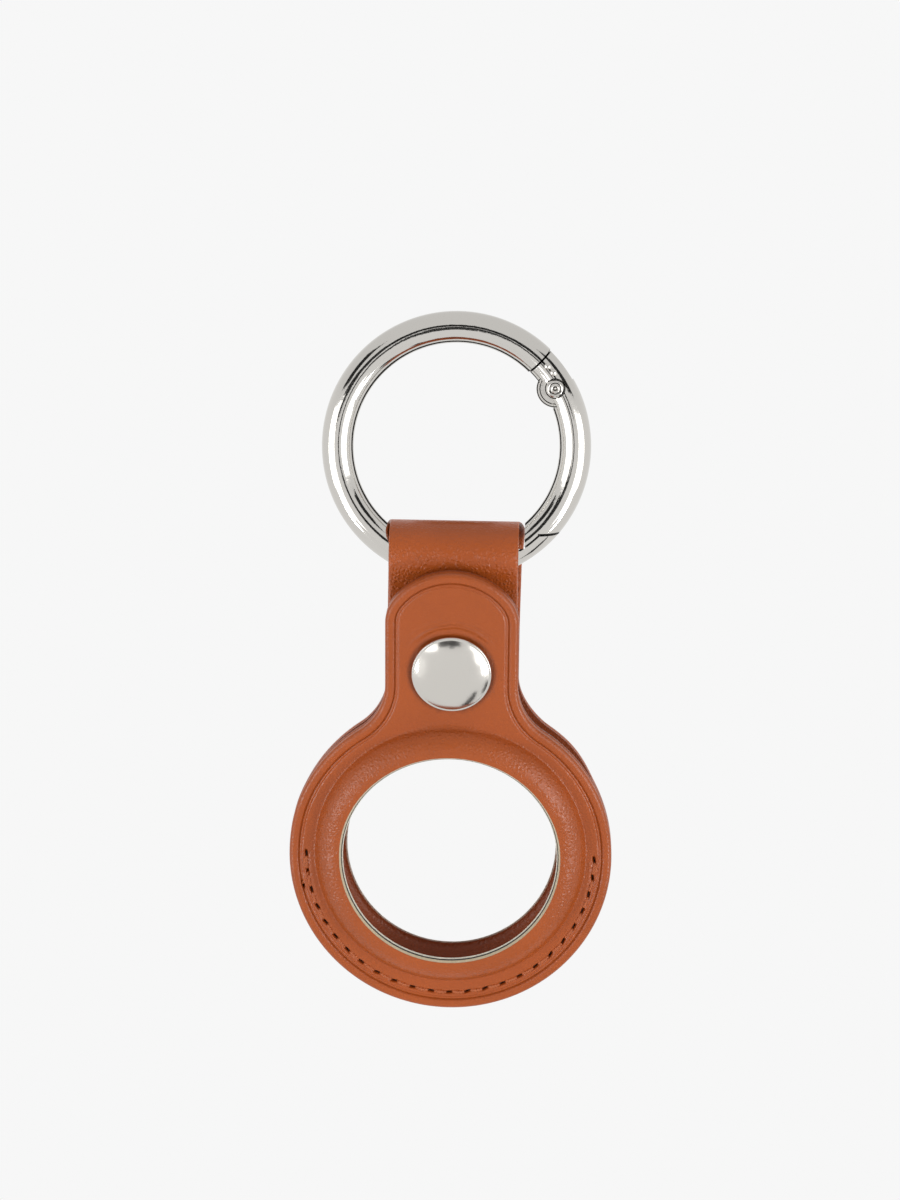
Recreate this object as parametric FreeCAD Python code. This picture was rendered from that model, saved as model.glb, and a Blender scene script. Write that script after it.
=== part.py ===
import FreeCAD, Part
import os
from math import acos, asin, atan2, ceil, cos, degrees, hypot, pi, radians, sin, sqrt, tan

from FreeCAD import Vector

# A leather holder for a round tracker tag, hanging from a spring-gate ring.
# Millimetres, +Z up, the front faces -Y. The origin is the centre of the ring.

# Ring
ring_inner_diameter = 25.2
ring_wire_diameter = 3.9
ring_lean = 12.1                  # degrees, the ring's top leans back
heel_angle = 46.5                 # degrees from +X, cut between body and gate
rivet_angle = 31.0
nose_angle = -53.8
rivet_inset = 0.6                 # rivet axis inside the wire's centreline
lap_depth_share = 0.70            # height of the outer lap below the ring's centre, in centreline radii
gate_gap = 0.15
lap_gap_share = 1.6               # of the gate's gap, opening of the outer lap
cut_slant = 12.0                  # degrees, the cuts rise towards the back, so that no light shows through
lug_radius = 1.8                  # round cheeks of the gate about the rivet
lug_thickness = 2.6
knuckle_radius = 2.3
tongue_thickness = 1.4
tongue_side_share = 0.82          # of the wire's radius, reach of the tongue either side of the centreline
fork_clearance = 0.1
rivet_shank_radius = 0.7
rivet_head_radius = 1.05
rivet_head_height = 0.45
rivet_edge_share = 0.33           # of the rivet head's height, straight edge below its dome
rivet_seat_depth = 0.12
rivet_clearance = 0.03
plunger_radius = 0.6
plunger_length = 1.1
plunger_clearance = 0.05
spring_wire_diameter = 0.2
spring_length = 2.4
spring_turns = 3
samples_per_turn = 24

# Leather case
disc_radius = 20.1
tab_width = 16.3
tab_crown = 6.6
tab_corner_radius = 5.0
shoulder_radius = 7.5
leather_thickness = 0.8
core_thickness = 0.4
lining_thickness = 0.4
border_width = 3.3                # flat border between the disc's edge and the domes
dome_width = 3.2                  # from the border to the front window
back_dome_width = 3.2
window_lift = 0.4                 # windows' centre above the disc's centre
front_dome_rise = 2.4
back_dome_rise = 2.4
dome_shoulder_share = 0.45        # of the dome's width, from the crease to the arc's middle point
dome_shoulder_rise_share = 0.80
crease_inset = 1.6
crease_width = 0.3
crease_depth = 0.22
edge_round = 0.35
flap_lean = 8.0                   # degrees, the closed flap leans forward
fold_gap = 0.12

# Strap
strap_spread = 0.1                # strap's width over the tab's
strap_thickness = 0.75
strap_clearance = 0.12
loop_reach = 14.0                 # loop's axis above the snap's
flap_gap = 0.4                    # flap's top below the loop's axis
knee_radius = 2.6
knee_drop = 8.6                   # knees below the loop's axis
neck_gap = 1.0                    # back panel's end below the knees
tail_reach = 5.6                  # tail below the snap's axis
tail_corner_radius = 4.0

# Sewing
stitch_inset = 2.1
stitch_pitch = 2.4
stitch_length_share = 0.78
thread_diameter = 0.5

# Snap
cap_diameter = 10.0
cap_gap = 2.4                     # from the dome's edge to the cap's
cap_rim_height = 0.55
cap_height = 1.5
cap_rim_roll = 0.5
shank_radius = 1.5
shank_clearance = 0.05
socket_radius = 4.0
socket_thickness = 1.5
socket_plate = 0.45
socket_bore_radius = 2.2
socket_groove_depth = 0.3
socket_groove_width = 0.55
snap_wire_diameter = 0.4
snap_wire_gap = 50.0              # degrees open in the split wire spring
stud_flange_radius = 3.6
stud_flange_thickness = 0.4
stud_head_radius = 1.9
stud_waist_radius = 1.6
stud_height = 1.35
stud_head_share = 0.55            # of the stud's height, length of the head
stud_wall = 0.25
post_flange_radius = 4.2
post_rim_height = 0.3
post_flange_height = 0.7

overrun = 5.0

# Worked out from the sizes above
wire_radius = ring_wire_diameter / 2
ring_radius = ring_inner_diameter / 2 + wire_radius
panel_thickness = leather_thickness + core_thickness + lining_thickness
strap_width = tab_width + strap_spread
half_strap = strap_width / 2
dome_diameter = 2 * (disc_radius - border_width)
window_diameter = dome_diameter - 2 * dome_width
back_window_diameter = dome_diameter - 2 * back_dome_width

# Heights above the disc's centre: the snap's axis, the loop's axis, the flap's top and the back panel's end
snap_height = window_lift + dome_diameter / 2 + cap_gap + cap_diameter / 2
strap_drop = snap_height + loop_reach
tab_top = strap_drop - flap_gap
neck_top = strap_drop - knee_drop - neck_gap

# Places of the loop and the fold
wire_top = -sqrt((ring_radius - wire_radius) ** 2 - half_strap ** 2)
wire_bottom = -(ring_radius + wire_radius)
loop_offset = (wire_top + wire_bottom) / 2
loop_radius = (wire_top - wire_bottom) / 2 + strap_clearance
loop_y = (core_thickness + lining_thickness) / 2
fold_axis_y = -(panel_thickness + front_dome_rise)

X_AXIS = Vector(1, 0, 0)
Y_AXIS = Vector(0, 1, 0)
FRONT = Vector(0, -1, 0)
ORIGIN = Vector(0, 0, 0)


def polar(radius, angle):
    """Point of the ring's plane at a radius and an angle in degrees from +X."""
    return Vector(radius * cos(radians(angle)), 0, radius * sin(radians(angle)))


def line(start, end):
    return Part.LineSegment(start, end).toShape()


def arc(start, middle, end):
    return Part.Arc(start, middle, end).toShape()


def ring_arc(radius, first, last):
    """Arc about the origin in the XZ plane, between two angles in degrees."""
    return arc(polar(radius, first), polar(radius, (first + last) / 2), polar(radius, last))


def slab(edges, y_from, y_to, slant=0):
    """Prism on a closed outline in the XZ plane, between two depths; it may rise towards the back."""
    face = Part.Face(Part.Wire(edges))
    way = Vector(0, 1, tan(radians(slant)))
    face.translate(way * y_from)
    return face.extrude(way * (y_to - y_from))


def rod(radius, centre_x, centre_z, y_from, y_to):
    """Round bar along Y between two depths."""
    return Part.makeCylinder(radius, y_to - y_from, Vector(centre_x, y_from, centre_z), Y_AXIS)


def turned(points, centre_z, rounded=()):
    """Solid turned about a Y axis at a height, from (radius, y) points; rounded lists mid points of arcs."""
    vectors = [Vector(radius, y, centre_z) for radius, y in points]
    edges = []
    count = len(vectors)
    index = 0
    while index < count:
        after = (index + 1) % count
        if after in rounded:
            edges.append(arc(vectors[index], vectors[after], vectors[(after + 1) % count]))
            index += 2
        else:
            edges.append(line(vectors[index], vectors[after]))
            index += 1
    face = Part.Face(Part.Wire(edges))
    solid = face.revolve(Vector(0, 0, centre_z), Y_AXIS, 360)
    return solid if solid.Volume > 0 else solid.reversed()


def dome_drop(radius, height):
    """Drop of a spherical cap's surface below its crown, at half its radius."""
    sphere = (radius ** 2 + height ** 2) / (2 * height)
    return sphere - sqrt(sphere ** 2 - radius ** 2 / 4)


# Leather panels

def panel_edges(inset):
    """Outline of a panel, set in from its edge: disc, concave shoulders, tab with a three-arc top."""
    disc = disc_radius - inset
    side = tab_width / 2 - inset
    shoulder = shoulder_radius + inset
    corner = tab_corner_radius - inset
    centre_x = side + shoulder
    centre_z = sqrt((disc + shoulder) ** 2 - centre_x ** 2)
    reach = disc / (disc + shoulder)
    join = Vector(centre_x * reach, 0, centre_z * reach)
    top = tab_top - inset
    crown = tab_crown - inset
    side_top = top - crown
    top_radius = ((side - corner) ** 2 + crown ** 2 - corner ** 2) / (2 * (crown - corner))
    top_centre = top - top_radius
    turn = atan2(side - corner, side_top - top_centre)
    touch = Vector(top_radius * sin(turn), 0, top_centre + top_radius * cos(turn))
    half_turn = (pi / 2 - turn) / 2
    corner_mid = Vector(side - corner + corner * cos(half_turn), 0, side_top + corner * sin(half_turn))
    inward = atan2(join.z - centre_z, join.x - centre_x)
    mid_angle = (inward - pi) / 2
    shoulder_mid = Vector(centre_x + shoulder * cos(mid_angle), 0, centre_z + shoulder * sin(mid_angle))

    def mirror(point):
        return Vector(-point.x, 0, point.z)

    neck = Vector(side, 0, centre_z)
    side_end = Vector(side, 0, side_top)
    peak = Vector(0, 0, top)
    return [
        arc(mirror(join), Vector(0, 0, -disc), join),
        arc(join, shoulder_mid, neck),
        line(neck, side_end),
        arc(side_end, corner_mid, touch),
        arc(touch, peak, mirror(touch)),
        arc(mirror(touch), mirror(corner_mid), mirror(side_end)),
        line(mirror(side_end), mirror(neck)),
        arc(mirror(neck), mirror(shoulder_mid), mirror(join)),
    ]


def dome(y_near, y_far, window_radius, rise):
    """Ring that rises from the crease to the window in one arc; the rise is negative towards the front."""
    crease = dome_diameter / 2
    middle = crease + (window_radius - crease) * dome_shoulder_share
    shoulder = rise * dome_shoulder_rise_share
    points = [
        (crease, y_near),
        (middle, y_near + shoulder),
        (window_radius, y_near + rise),
        (window_radius, y_far + rise),
        (middle, y_far + shoulder),
        (crease, y_far),
    ]
    return turned(points, window_lift, rounded=(1, 4))


def layer(y_near, y_far, window_radius, rise):
    """One layer of a panel between two depths, with its dome and its window."""
    flat = slab(panel_edges(0), y_near, y_far)
    flat = flat.cut(rod(dome_diameter / 2, 0, window_lift, y_near - overrun, y_far + overrun))
    return flat.fuse(dome(y_near, y_far, window_radius, rise)).removeSplitter()


def creased(panel, face_y, inward):
    """Rounds the outline's shown edge and presses the crease line in beside it."""
    edges = [
        edge for edge in panel.Edges
        if abs(edge.BoundBox.YMin - face_y) < fold_gap
        and abs(edge.BoundBox.YMax - face_y) < fold_gap
        and not is_crease_circle(edge)
    ]
    rounded = panel.makeFillet(edge_round, edges)
    outer = slab(panel_edges(crease_inset), face_y - inward * overrun, face_y + inward * crease_depth)
    inset = crease_inset + crease_width
    inner = slab(panel_edges(inset), face_y - inward * overrun, face_y + inward * overrun)
    return rounded.cut(outer.cut(inner))


def is_crease_circle(edge):
    curve = edge.Curve
    return isinstance(curve, Part.Circle) and abs(curve.Radius - dome_diameter / 2) < fold_gap


def half_space(upper):
    """Block above or below the fold line, which runs across the disc's centre."""
    size = disc_radius + tab_top + overrun
    base = fold_gap / 2 if upper else -size - fold_gap / 2
    return Part.makeBox(2 * size, 2 * size, size, Vector(-size, -size, base))


def lean_flap(shape):
    """Turns a piece of the flap forward about the fold, from flat to closed."""
    shape.rotate(Vector(0, fold_axis_y, 0), X_AXIS, flap_lean)
    return shape


def front_panel():
    """Three layers of the front, each as a sewn lower half and a flap."""
    bounds = [0, -lining_thickness, -lining_thickness - core_thickness, -panel_thickness]
    names = ["lining", "core", "leather"]
    nodes = {}
    for index, name in enumerate(names):
        shape = layer(bounds[index + 1], bounds[index], window_diameter / 2, -front_dome_rise)
        if name == "leather":
            shape = creased(shape, -panel_thickness, 1)
        flap = shape.common(half_space(True))
        flap = flap.cut(rod(shank_radius + shank_clearance, 0, snap_height, -overrun, overrun))
        nodes["front_" + name] = shape.common(half_space(False))
        nodes["flap_" + name] = lean_flap(flap)
    return nodes


def back_panel():
    """Three layers of the back, cut off square where the strap goes on from the leather."""
    bounds = [0, lining_thickness, lining_thickness + core_thickness, panel_thickness]
    names = ["lining", "core", "leather"]
    size = 2 * disc_radius
    above = Part.makeBox(size, size, size, Vector(-disc_radius, -disc_radius, neck_top))
    bore = rod(shank_radius + shank_clearance, 0, stud_height_above_disc(), -overrun, overrun)
    nodes = {}
    for index, name in enumerate(names):
        shape = layer(bounds[index], bounds[index + 1], back_window_diameter / 2, back_dome_rise)
        if name == "leather":
            shape = creased(shape, panel_thickness, -1)
        nodes["back_" + name] = shape.cut(above).cut(bore)
    return nodes


# Strap

def strap_side(offset, front):
    """Tangent points of one leg on the knee's and the loop's circles, at an offset from the inner face."""
    sign = -1 if front else 1
    leg_y = loop_y + sign * (core_thickness + lining_thickness) / 2
    knee = Vector(0, leg_y + sign * knee_radius, strap_drop - knee_drop)
    centre = Vector(0, loop_y, strap_drop)
    across = knee.sub(centre)
    tilt = acos((loop_radius + knee_radius) / across.Length)
    angle = atan2(across.z, sign * across.y) + tilt
    normal = Vector(0, sign * cos(angle), sin(angle))
    on_loop = centre.add(normal * (loop_radius + offset))
    on_knee = knee.sub(normal * (knee_radius - offset))
    on_leg = Vector(0, leg_y + sign * offset, knee.z)
    middle = Vector(0, -normal.y - sign, -normal.z)
    middle.normalize()
    knee_mid = knee.add(middle * (knee_radius - offset))
    return on_leg, knee_mid, on_knee, on_loop


def strap_path(offset, back_end, front_end):
    """Edges of one face of the strap, from the back leg's end round the ring to the tail's end."""
    leg, knee_mid, knee, loop = strap_side(offset, False)
    tail, tail_mid, tail_knee, tail_loop = strap_side(offset, True)
    crown = Vector(0, loop_y, strap_drop + loop_radius + offset)
    return [
        line(Vector(0, leg.y, back_end), leg),
        arc(leg, knee_mid, knee),
        line(knee, loop),
        arc(loop, crown, tail_loop),
        line(tail_loop, tail_knee),
        arc(tail_knee, tail_mid, tail),
        line(tail, Vector(0, tail.y, front_end)),
    ]


def strap():
    """The back leather's tongue: up from the neck, round the ring and down to a tail under the stud."""
    tail_end = stud_height_above_disc() - tail_reach
    inner = strap_path(0, neck_top, tail_end)
    outer = strap_path(strap_thickness, neck_top, tail_end)
    ends = [
        line(inner[0].Vertexes[0].Point, outer[0].Vertexes[0].Point),
        line(inner[-1].Vertexes[-1].Point, outer[-1].Vertexes[-1].Point),
    ]
    face = Part.Face(Part.Wire(Part.__sortEdges__(inner + outer + ends)))
    face.translate(Vector(-half_strap, 0, 0))
    band = face.extrude(Vector(strap_width, 0, 0))
    band = band.cut(rod(shank_radius + shank_clearance, 0, stud_height_above_disc(), -overrun, overrun))
    corners = [
        edge for edge in band.Edges
        if abs(edge.BoundBox.ZMax - tail_end) < fold_gap and edge.BoundBox.YLength > fold_gap
    ]
    return band.makeFillet(tail_corner_radius, corners)


# Sewing

def stitches(face_y, outward):
    """Row of half-round stitches on a panel's face, round the lower half of the disc."""
    radius = disc_radius - stitch_inset
    count = ceil(pi * radius / stitch_pitch)
    step = 180 / count
    length = stitch_pitch * stitch_length_share
    row = []
    for index in range(count):
        angle = 180 + step * (index + 1 / 2)
        bar = Part.makeCylinder(thread_diameter / 2, length, Vector(-length / 2, 0, 0), X_AXIS, 180)
        bar.rotate(ORIGIN, X_AXIS, half_round_turn(bar, outward))
        bar.rotate(ORIGIN, FRONT, angle + 90)
        bar.translate(polar(radius, angle) + Vector(0, face_y, 0))
        row.append(bar)
    return Part.makeCompound(row)


def half_round_turn(bar, outward):
    """Turn about X, in degrees, that lays a half-round bar's flat on the panel with its crown outward."""
    centre = bar.CenterOfMass
    wanted = atan2(0, outward)
    return degrees(wanted - atan2(centre.z, centre.y))


# Snap

def stud_height_above_disc():
    """Height of the stud's axis: the closed socket's middle, after the flap's lean."""
    depth = socket_thickness / 2 - fold_axis_y
    return snap_height * cos(radians(flap_lean)) + depth * sin(radians(flap_lean))


def snap_cap():
    """Low domed cap with a rolled rim, on a shank that goes through the flap into the socket."""
    face = -panel_thickness
    rim = cap_diameter / 2
    dome_radius = rim - cap_rim_roll / 2
    points = [
        (0, face - cap_height),
        (dome_radius / 2, face - cap_height + dome_drop(dome_radius, cap_height - cap_rim_height)),
        (dome_radius, face - cap_rim_height),
        (rim, face - cap_rim_height / 2),
        (dome_radius, face),
        (shank_radius, face),
        (shank_radius, socket_plate),
        (0, socket_plate),
    ]
    return lean_flap(turned(points, snap_height, rounded=(1, 3)))


def snap_socket():
    """Ring behind the flap: plate on the cap's shank, bore for the stud, groove for the wire spring."""
    groove = socket_bore_radius + socket_groove_depth
    groove_from = socket_plate + (socket_thickness - socket_plate - socket_groove_width) / 2
    groove_to = groove_from + socket_groove_width
    points = [
        (shank_radius + shank_clearance, 0),
        (socket_radius, 0),
        (socket_radius, socket_thickness - cap_rim_roll),
        (socket_radius - cap_rim_roll, socket_thickness),
        (socket_bore_radius, socket_thickness),
        (socket_bore_radius, groove_to),
        (groove, groove_to),
        (groove, groove_from),
        (socket_bore_radius, groove_from),
        (socket_bore_radius, socket_plate),
        (shank_radius + shank_clearance, socket_plate),
    ]
    return lean_flap(turned(points, snap_height))


def snap_spring():
    """Split ring of wire that lies in the socket's groove."""
    mean_radius = socket_bore_radius + socket_groove_depth - snap_wire_diameter / 2 - shank_clearance
    depth = socket_plate + (socket_thickness - socket_plate) / 2
    turn = 360 - snap_wire_gap
    wire = Part.makeTorus(mean_radius, snap_wire_diameter / 2, ORIGIN, Y_AXIS, -180, 180, turn)
    wire.translate(Vector(0, depth, snap_height))
    return lean_flap(wire)


def snap_stud():
    """Flanged stud on the strap's tail, with a waist behind its head and a bore for the post."""
    base = -strap_thickness
    flange = base - stud_flange_thickness
    tip = flange - stud_height
    neck = tip + stud_height * stud_head_share
    points = [
        (shank_radius + shank_clearance, base),
        (stud_flange_radius, base),
        (stud_flange_radius, flange),
        (stud_waist_radius + stud_wall, flange),
        (stud_waist_radius + stud_wall, neck),
        (stud_head_radius, (neck + tip) / 2),
        (stud_waist_radius, tip),
        (0, tip),
        (0, tip + stud_wall),
        (shank_radius + shank_clearance, tip + stud_wall),
    ]
    return turned(points, stud_height_above_disc())


def snap_post():
    """Low domed flange on the back, on a shank through the back, the strap's tail and the stud."""
    rim = post_flange_radius
    face = panel_thickness
    end = -strap_thickness - stud_flange_thickness - stud_height + 2 * stud_wall
    points = [
        (0, end),
        (shank_radius, end),
        (shank_radius, face),
        (rim, face),
        (rim, face + post_rim_height),
        (rim / 2, face + post_flange_height - dome_drop(rim, post_flange_height - post_rim_height)),
        (0, face + post_flange_height),
    ]
    return turned(points, stud_height_above_disc(), rounded=(5,))


# Ring

def gate_edges(gap):
    """Outline that parts gate and body: radial heel, level outer lap, centreline split, upright nose."""
    outer = ring_radius + wire_radius + overrun
    inner = ring_radius - wire_radius - overrun
    split = ring_radius + gap
    level = -ring_radius * lap_depth_share - gap * lap_gap_share
    heel = heel_angle + degrees(gap / ring_radius)
    outer_angle = degrees(asin(level / outer))
    split_angle = degrees(asin(level / split))
    nose = polar(split, nose_angle)
    nose_top = Vector(nose.x, 0, -sqrt(max(inner ** 2 - nose.x ** 2, 0)))
    top_angle = degrees(atan2(nose_top.z, nose_top.x))
    return [
        line(polar(inner, heel), polar(outer, heel)),
        ring_arc(outer, heel, outer_angle),
        line(polar(outer, outer_angle), polar(split, split_angle)),
        ring_arc(split, split_angle, nose_angle),
        line(nose, polar(hypot(nose_top.x, nose_top.z), top_angle)),
        ring_arc(hypot(nose_top.x, nose_top.z), top_angle, heel),
    ]


def rivet_place():
    return polar(ring_radius - rivet_inset, rivet_angle)


def wire_ring():
    return Part.makeTorus(ring_radius, wire_radius, ORIGIN, Y_AXIS)


def ring_body():
    """Round wire with a flat knuckled tongue at the hinge and a lapped end for the gate's nose."""
    body = wire_ring().cut(slab(gate_edges(gate_gap), -overrun, overrun, cut_slant))
    nose = polar(ring_radius + gate_gap, nose_angle)
    floor = nose.z - gate_gap - wire_radius * tan(radians(cut_slant))
    recess = Part.makeBox(nose.x, 2 * overrun, -floor, Vector(0, -overrun, floor))
    body = body.cut(recess)
    place = rivet_place()
    reach = wire_radius * tongue_side_share
    root = heel_angle + degrees(wire_radius / ring_radius)
    band = [
        ring_arc(ring_radius - reach, rivet_angle, root),
        line(polar(ring_radius - reach, root), polar(ring_radius + reach, root)),
        ring_arc(ring_radius + reach, root, rivet_angle),
        line(polar(ring_radius + reach, rivet_angle), polar(ring_radius - reach, rivet_angle)),
    ]
    half = tongue_thickness / 2
    tongue = slab(band, -half, half).fuse(rod(knuckle_radius, place.x, place.z, -half, half))
    body = body.fuse(tongue).removeSplitter()
    body = body.cut(rod(rivet_shank_radius + rivet_clearance, place.x, place.z, -overrun, overrun))
    return lean_ring(body)


def ring_gate():
    """Round wire with a forked heel on the rivet and a nose that laps inside the body's end."""
    gate = wire_ring().common(slab(gate_edges(0), -overrun, overrun, cut_slant))
    place = rivet_place()
    gate = gate.fuse(rod(lug_radius, place.x, place.z, -lug_thickness / 2, lug_thickness / 2))
    half = tongue_thickness / 2 + fork_clearance
    slot_end = rod(knuckle_radius + fork_clearance, place.x, place.z, -half, half)
    reach = ring_radius + wire_radius + overrun
    slot_edges = [
        line(polar(wire_radius, rivet_angle), polar(reach, rivet_angle)),
        ring_arc(reach, rivet_angle, heel_angle + rivet_angle),
        line(polar(reach, heel_angle + rivet_angle), polar(wire_radius, heel_angle + rivet_angle)),
        ring_arc(wire_radius, heel_angle + rivet_angle, rivet_angle),
    ]
    gate = gate.cut(slab(slot_edges, -half, half)).cut(slot_end)
    bore_end = plunger_start() + plunger_length + spring_length
    bore_radius = plunger_radius + plunger_clearance
    gate = gate.cut(Part.makeCylinder(bore_radius, bore_end, place, bore_direction()))
    seat = sqrt(wire_radius ** 2 - rivet_inset ** 2) - rivet_seat_depth
    gate = gate.cut(rod(rivet_shank_radius + rivet_clearance, place.x, place.z, -overrun, overrun))
    for y_from in (seat, -seat - overrun):
        head = rod(rivet_head_radius + fork_clearance, place.x, place.z, y_from, y_from + overrun)
        gate = gate.cut(head)
    return lean_ring(gate)


def gate_rivet():
    """Shank with a low domed head on each cheek."""
    place = rivet_place()
    seat = sqrt(wire_radius ** 2 - rivet_inset ** 2) - rivet_seat_depth + rivet_clearance
    top = seat + rivet_head_height
    edge = seat + rivet_head_height * rivet_edge_share
    half = rivet_head_radius / 2
    drop = dome_drop(rivet_head_radius, top - edge)
    points = [
        (0, -top),
        (half, -top + drop),
        (rivet_head_radius, -edge),
        (rivet_head_radius, -seat),
        (rivet_shank_radius, -seat),
        (rivet_shank_radius, seat),
        (rivet_head_radius, seat),
        (rivet_head_radius, edge),
        (half, top - drop),
        (0, top),
    ]
    rivet = turned(points, 0, rounded=(1, 8))
    rivet.translate(place)
    return lean_ring(rivet)


def bore_direction():
    """Way of the plunger's bore in the gate, square to the rivet's radius."""
    return polar(1, rivet_angle - 90)


def plunger_start():
    """Distance from the rivet's axis to the plunger's nose, just off the knuckle."""
    return knuckle_radius + plunger_clearance


def lay_in_bore(shape, start):
    """Turns a piece made along +Z into the gate's bore, its foot at a distance from the rivet's axis."""
    shape.rotate(ORIGIN, FRONT, rivet_angle - 180)
    shape.translate(rivet_place() + bore_direction() * start)
    return lean_ring(shape)


def gate_plunger():
    """Pin with a round nose, which the spring holds against the knuckle."""
    nose = Part.makeSphere(plunger_radius, Vector(0, 0, plunger_radius))
    stem = Part.makeCylinder(plunger_radius, plunger_length - plunger_radius, Vector(0, 0, plunger_radius))
    return lay_in_bore(nose.fuse(stem).removeSplitter(), plunger_start())


def gate_spring():
    """Coil between the plunger and the end of its bore: one round wire along a helix of steady pitch."""
    mean_radius = plunger_radius - spring_wire_diameter / 2
    height = spring_length - spring_wire_diameter
    path = Part.makeHelix(height / spring_turns, height, mean_radius)
    start = path.Edges[0].valueAt(path.Edges[0].FirstParameter)
    way = path.Edges[0].tangentAt(path.Edges[0].FirstParameter)
    section = Part.Wire(Part.makeCircle(spring_wire_diameter / 2, start, way))
    coil = Part.Wire(path.Edges).makePipeShell([section], True, True)
    print("gate_spring least gap to itself", round(coil_gap(path), 3), "mm")
    coil.translate(Vector(0, 0, spring_wire_diameter / 2))
    return lay_in_bore(coil, plunger_start() + plunger_length)


def coil_gap(path):
    """Least gap of the coil's wire to itself, on points at least half a turn apart."""
    points = path.discretize(samples_per_turn * spring_turns)
    apart = samples_per_turn // 2
    gaps = [
        points[first].distanceToPoint(points[second])
        for first in range(len(points))
        for second in range(first + apart, len(points))
    ]
    return min(gaps) - spring_wire_diameter


def lean_ring(shape):
    """Leans a piece of the ring back about the ring's centre."""
    shape.rotate(ORIGIN, X_AXIS, -ring_lean)
    return shape


def hang_case(shape):
    """Moves a piece of the case from the disc's centre to its place under the ring."""
    loop_place = Vector(0, loop_offset * sin(radians(ring_lean)), loop_offset * cos(radians(ring_lean)))
    shape.translate(loop_place - Vector(0, loop_y, strap_drop))
    return shape


def build():
    case = {
        **front_panel(),
        **back_panel(),
        "strap": strap(),
        "front_thread": stitches(-panel_thickness, -1),
        "back_thread": stitches(panel_thickness, 1),
        "snap_cap": snap_cap(),
        "snap_socket": snap_socket(),
        "snap_spring": snap_spring(),
        "snap_stud": snap_stud(),
        "snap_post": snap_post(),
    }
    nodes = {name: hang_case(shape) for name, shape in case.items()}
    nodes["ring_body"] = ring_body()
    nodes["ring_gate"] = ring_gate()
    nodes["gate_rivet"] = gate_rivet()
    nodes["gate_plunger"] = gate_plunger()
    nodes["gate_spring"] = gate_spring()
    return nodes


os.makedirs("parts", exist_ok=True)
for node, shape in build().items():
    state = "valid" if shape.isValid() else "NOT VALID"
    print(node, len(shape.Solids), "solids", round(shape.Volume, 2), "mm3", state)
    shape.exportStep("parts/" + node + ".step")
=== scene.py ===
"""Looks of a leather tracker tag holder on a spring-gate ring, dressed over its CAD frame.

Sizes are in millimetres and are turned into metres where a mesh is made; lamps and cards are in metres.
The frame is the CAD part's own: +Z up, the front faces -Y, and the ring's centre is the origin.
"""

import logging
import math
from dataclasses import dataclass, field
from enum import Enum
from functools import partial, reduce

import bmesh
import bpy
import numpy as np
from mathutils import Euler, Matrix

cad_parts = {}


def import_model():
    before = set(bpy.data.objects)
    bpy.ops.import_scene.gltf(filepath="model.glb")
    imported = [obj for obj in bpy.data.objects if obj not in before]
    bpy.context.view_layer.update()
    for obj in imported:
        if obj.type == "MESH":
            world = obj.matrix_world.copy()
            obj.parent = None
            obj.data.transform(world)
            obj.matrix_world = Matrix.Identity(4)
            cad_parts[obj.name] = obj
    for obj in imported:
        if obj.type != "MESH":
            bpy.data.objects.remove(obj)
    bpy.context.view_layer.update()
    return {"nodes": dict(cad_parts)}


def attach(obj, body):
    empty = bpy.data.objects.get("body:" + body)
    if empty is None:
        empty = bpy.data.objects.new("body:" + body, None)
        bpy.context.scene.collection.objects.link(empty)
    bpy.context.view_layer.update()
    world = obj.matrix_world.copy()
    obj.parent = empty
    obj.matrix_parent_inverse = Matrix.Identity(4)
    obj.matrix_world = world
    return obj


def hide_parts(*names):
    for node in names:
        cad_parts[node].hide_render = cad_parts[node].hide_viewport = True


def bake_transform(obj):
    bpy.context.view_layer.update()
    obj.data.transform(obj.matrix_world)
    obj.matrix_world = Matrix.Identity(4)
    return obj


log = logging.getLogger("tag_holder")

METRE = 0.001
TURN = 2 * math.pi
WAVE_PERIOD = 0.314  # of the wave texture's rings at scale 1

Span = tuple[float, float]
Place = tuple[float, float, float]
Tint = tuple[float, float, float, float]
Tree = bpy.types.NodeTree
Socket = bpy.types.NodeSocket

BLACK: Tint = (0.0, 0.0, 0.0, 1.0)
COLOUR_INPUTS = (6, 7)  # of the mix node, which has an A and a B for each type


class Face(Enum):
    """Side of the case that a panel shows, with the sign of its outward Y."""

    FRONT = -1
    BACK = 1


class Body(Enum):
    """Moving bodies of the CAD frame."""

    RING = "ring"
    GATE = "gate"
    CASE = "case"
    FLAP = "flap"


class Slot(Enum):
    """Material slots of the record."""

    LEATHER = "leather"
    CORE = "core"
    LINING = "lining"
    THREAD = "thread"
    NICKEL = "polished_nickel"
    STEEL = "plated_steel"
    WIRE = "spring_wire"


Finishes = dict[Slot, bpy.types.Material]


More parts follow.
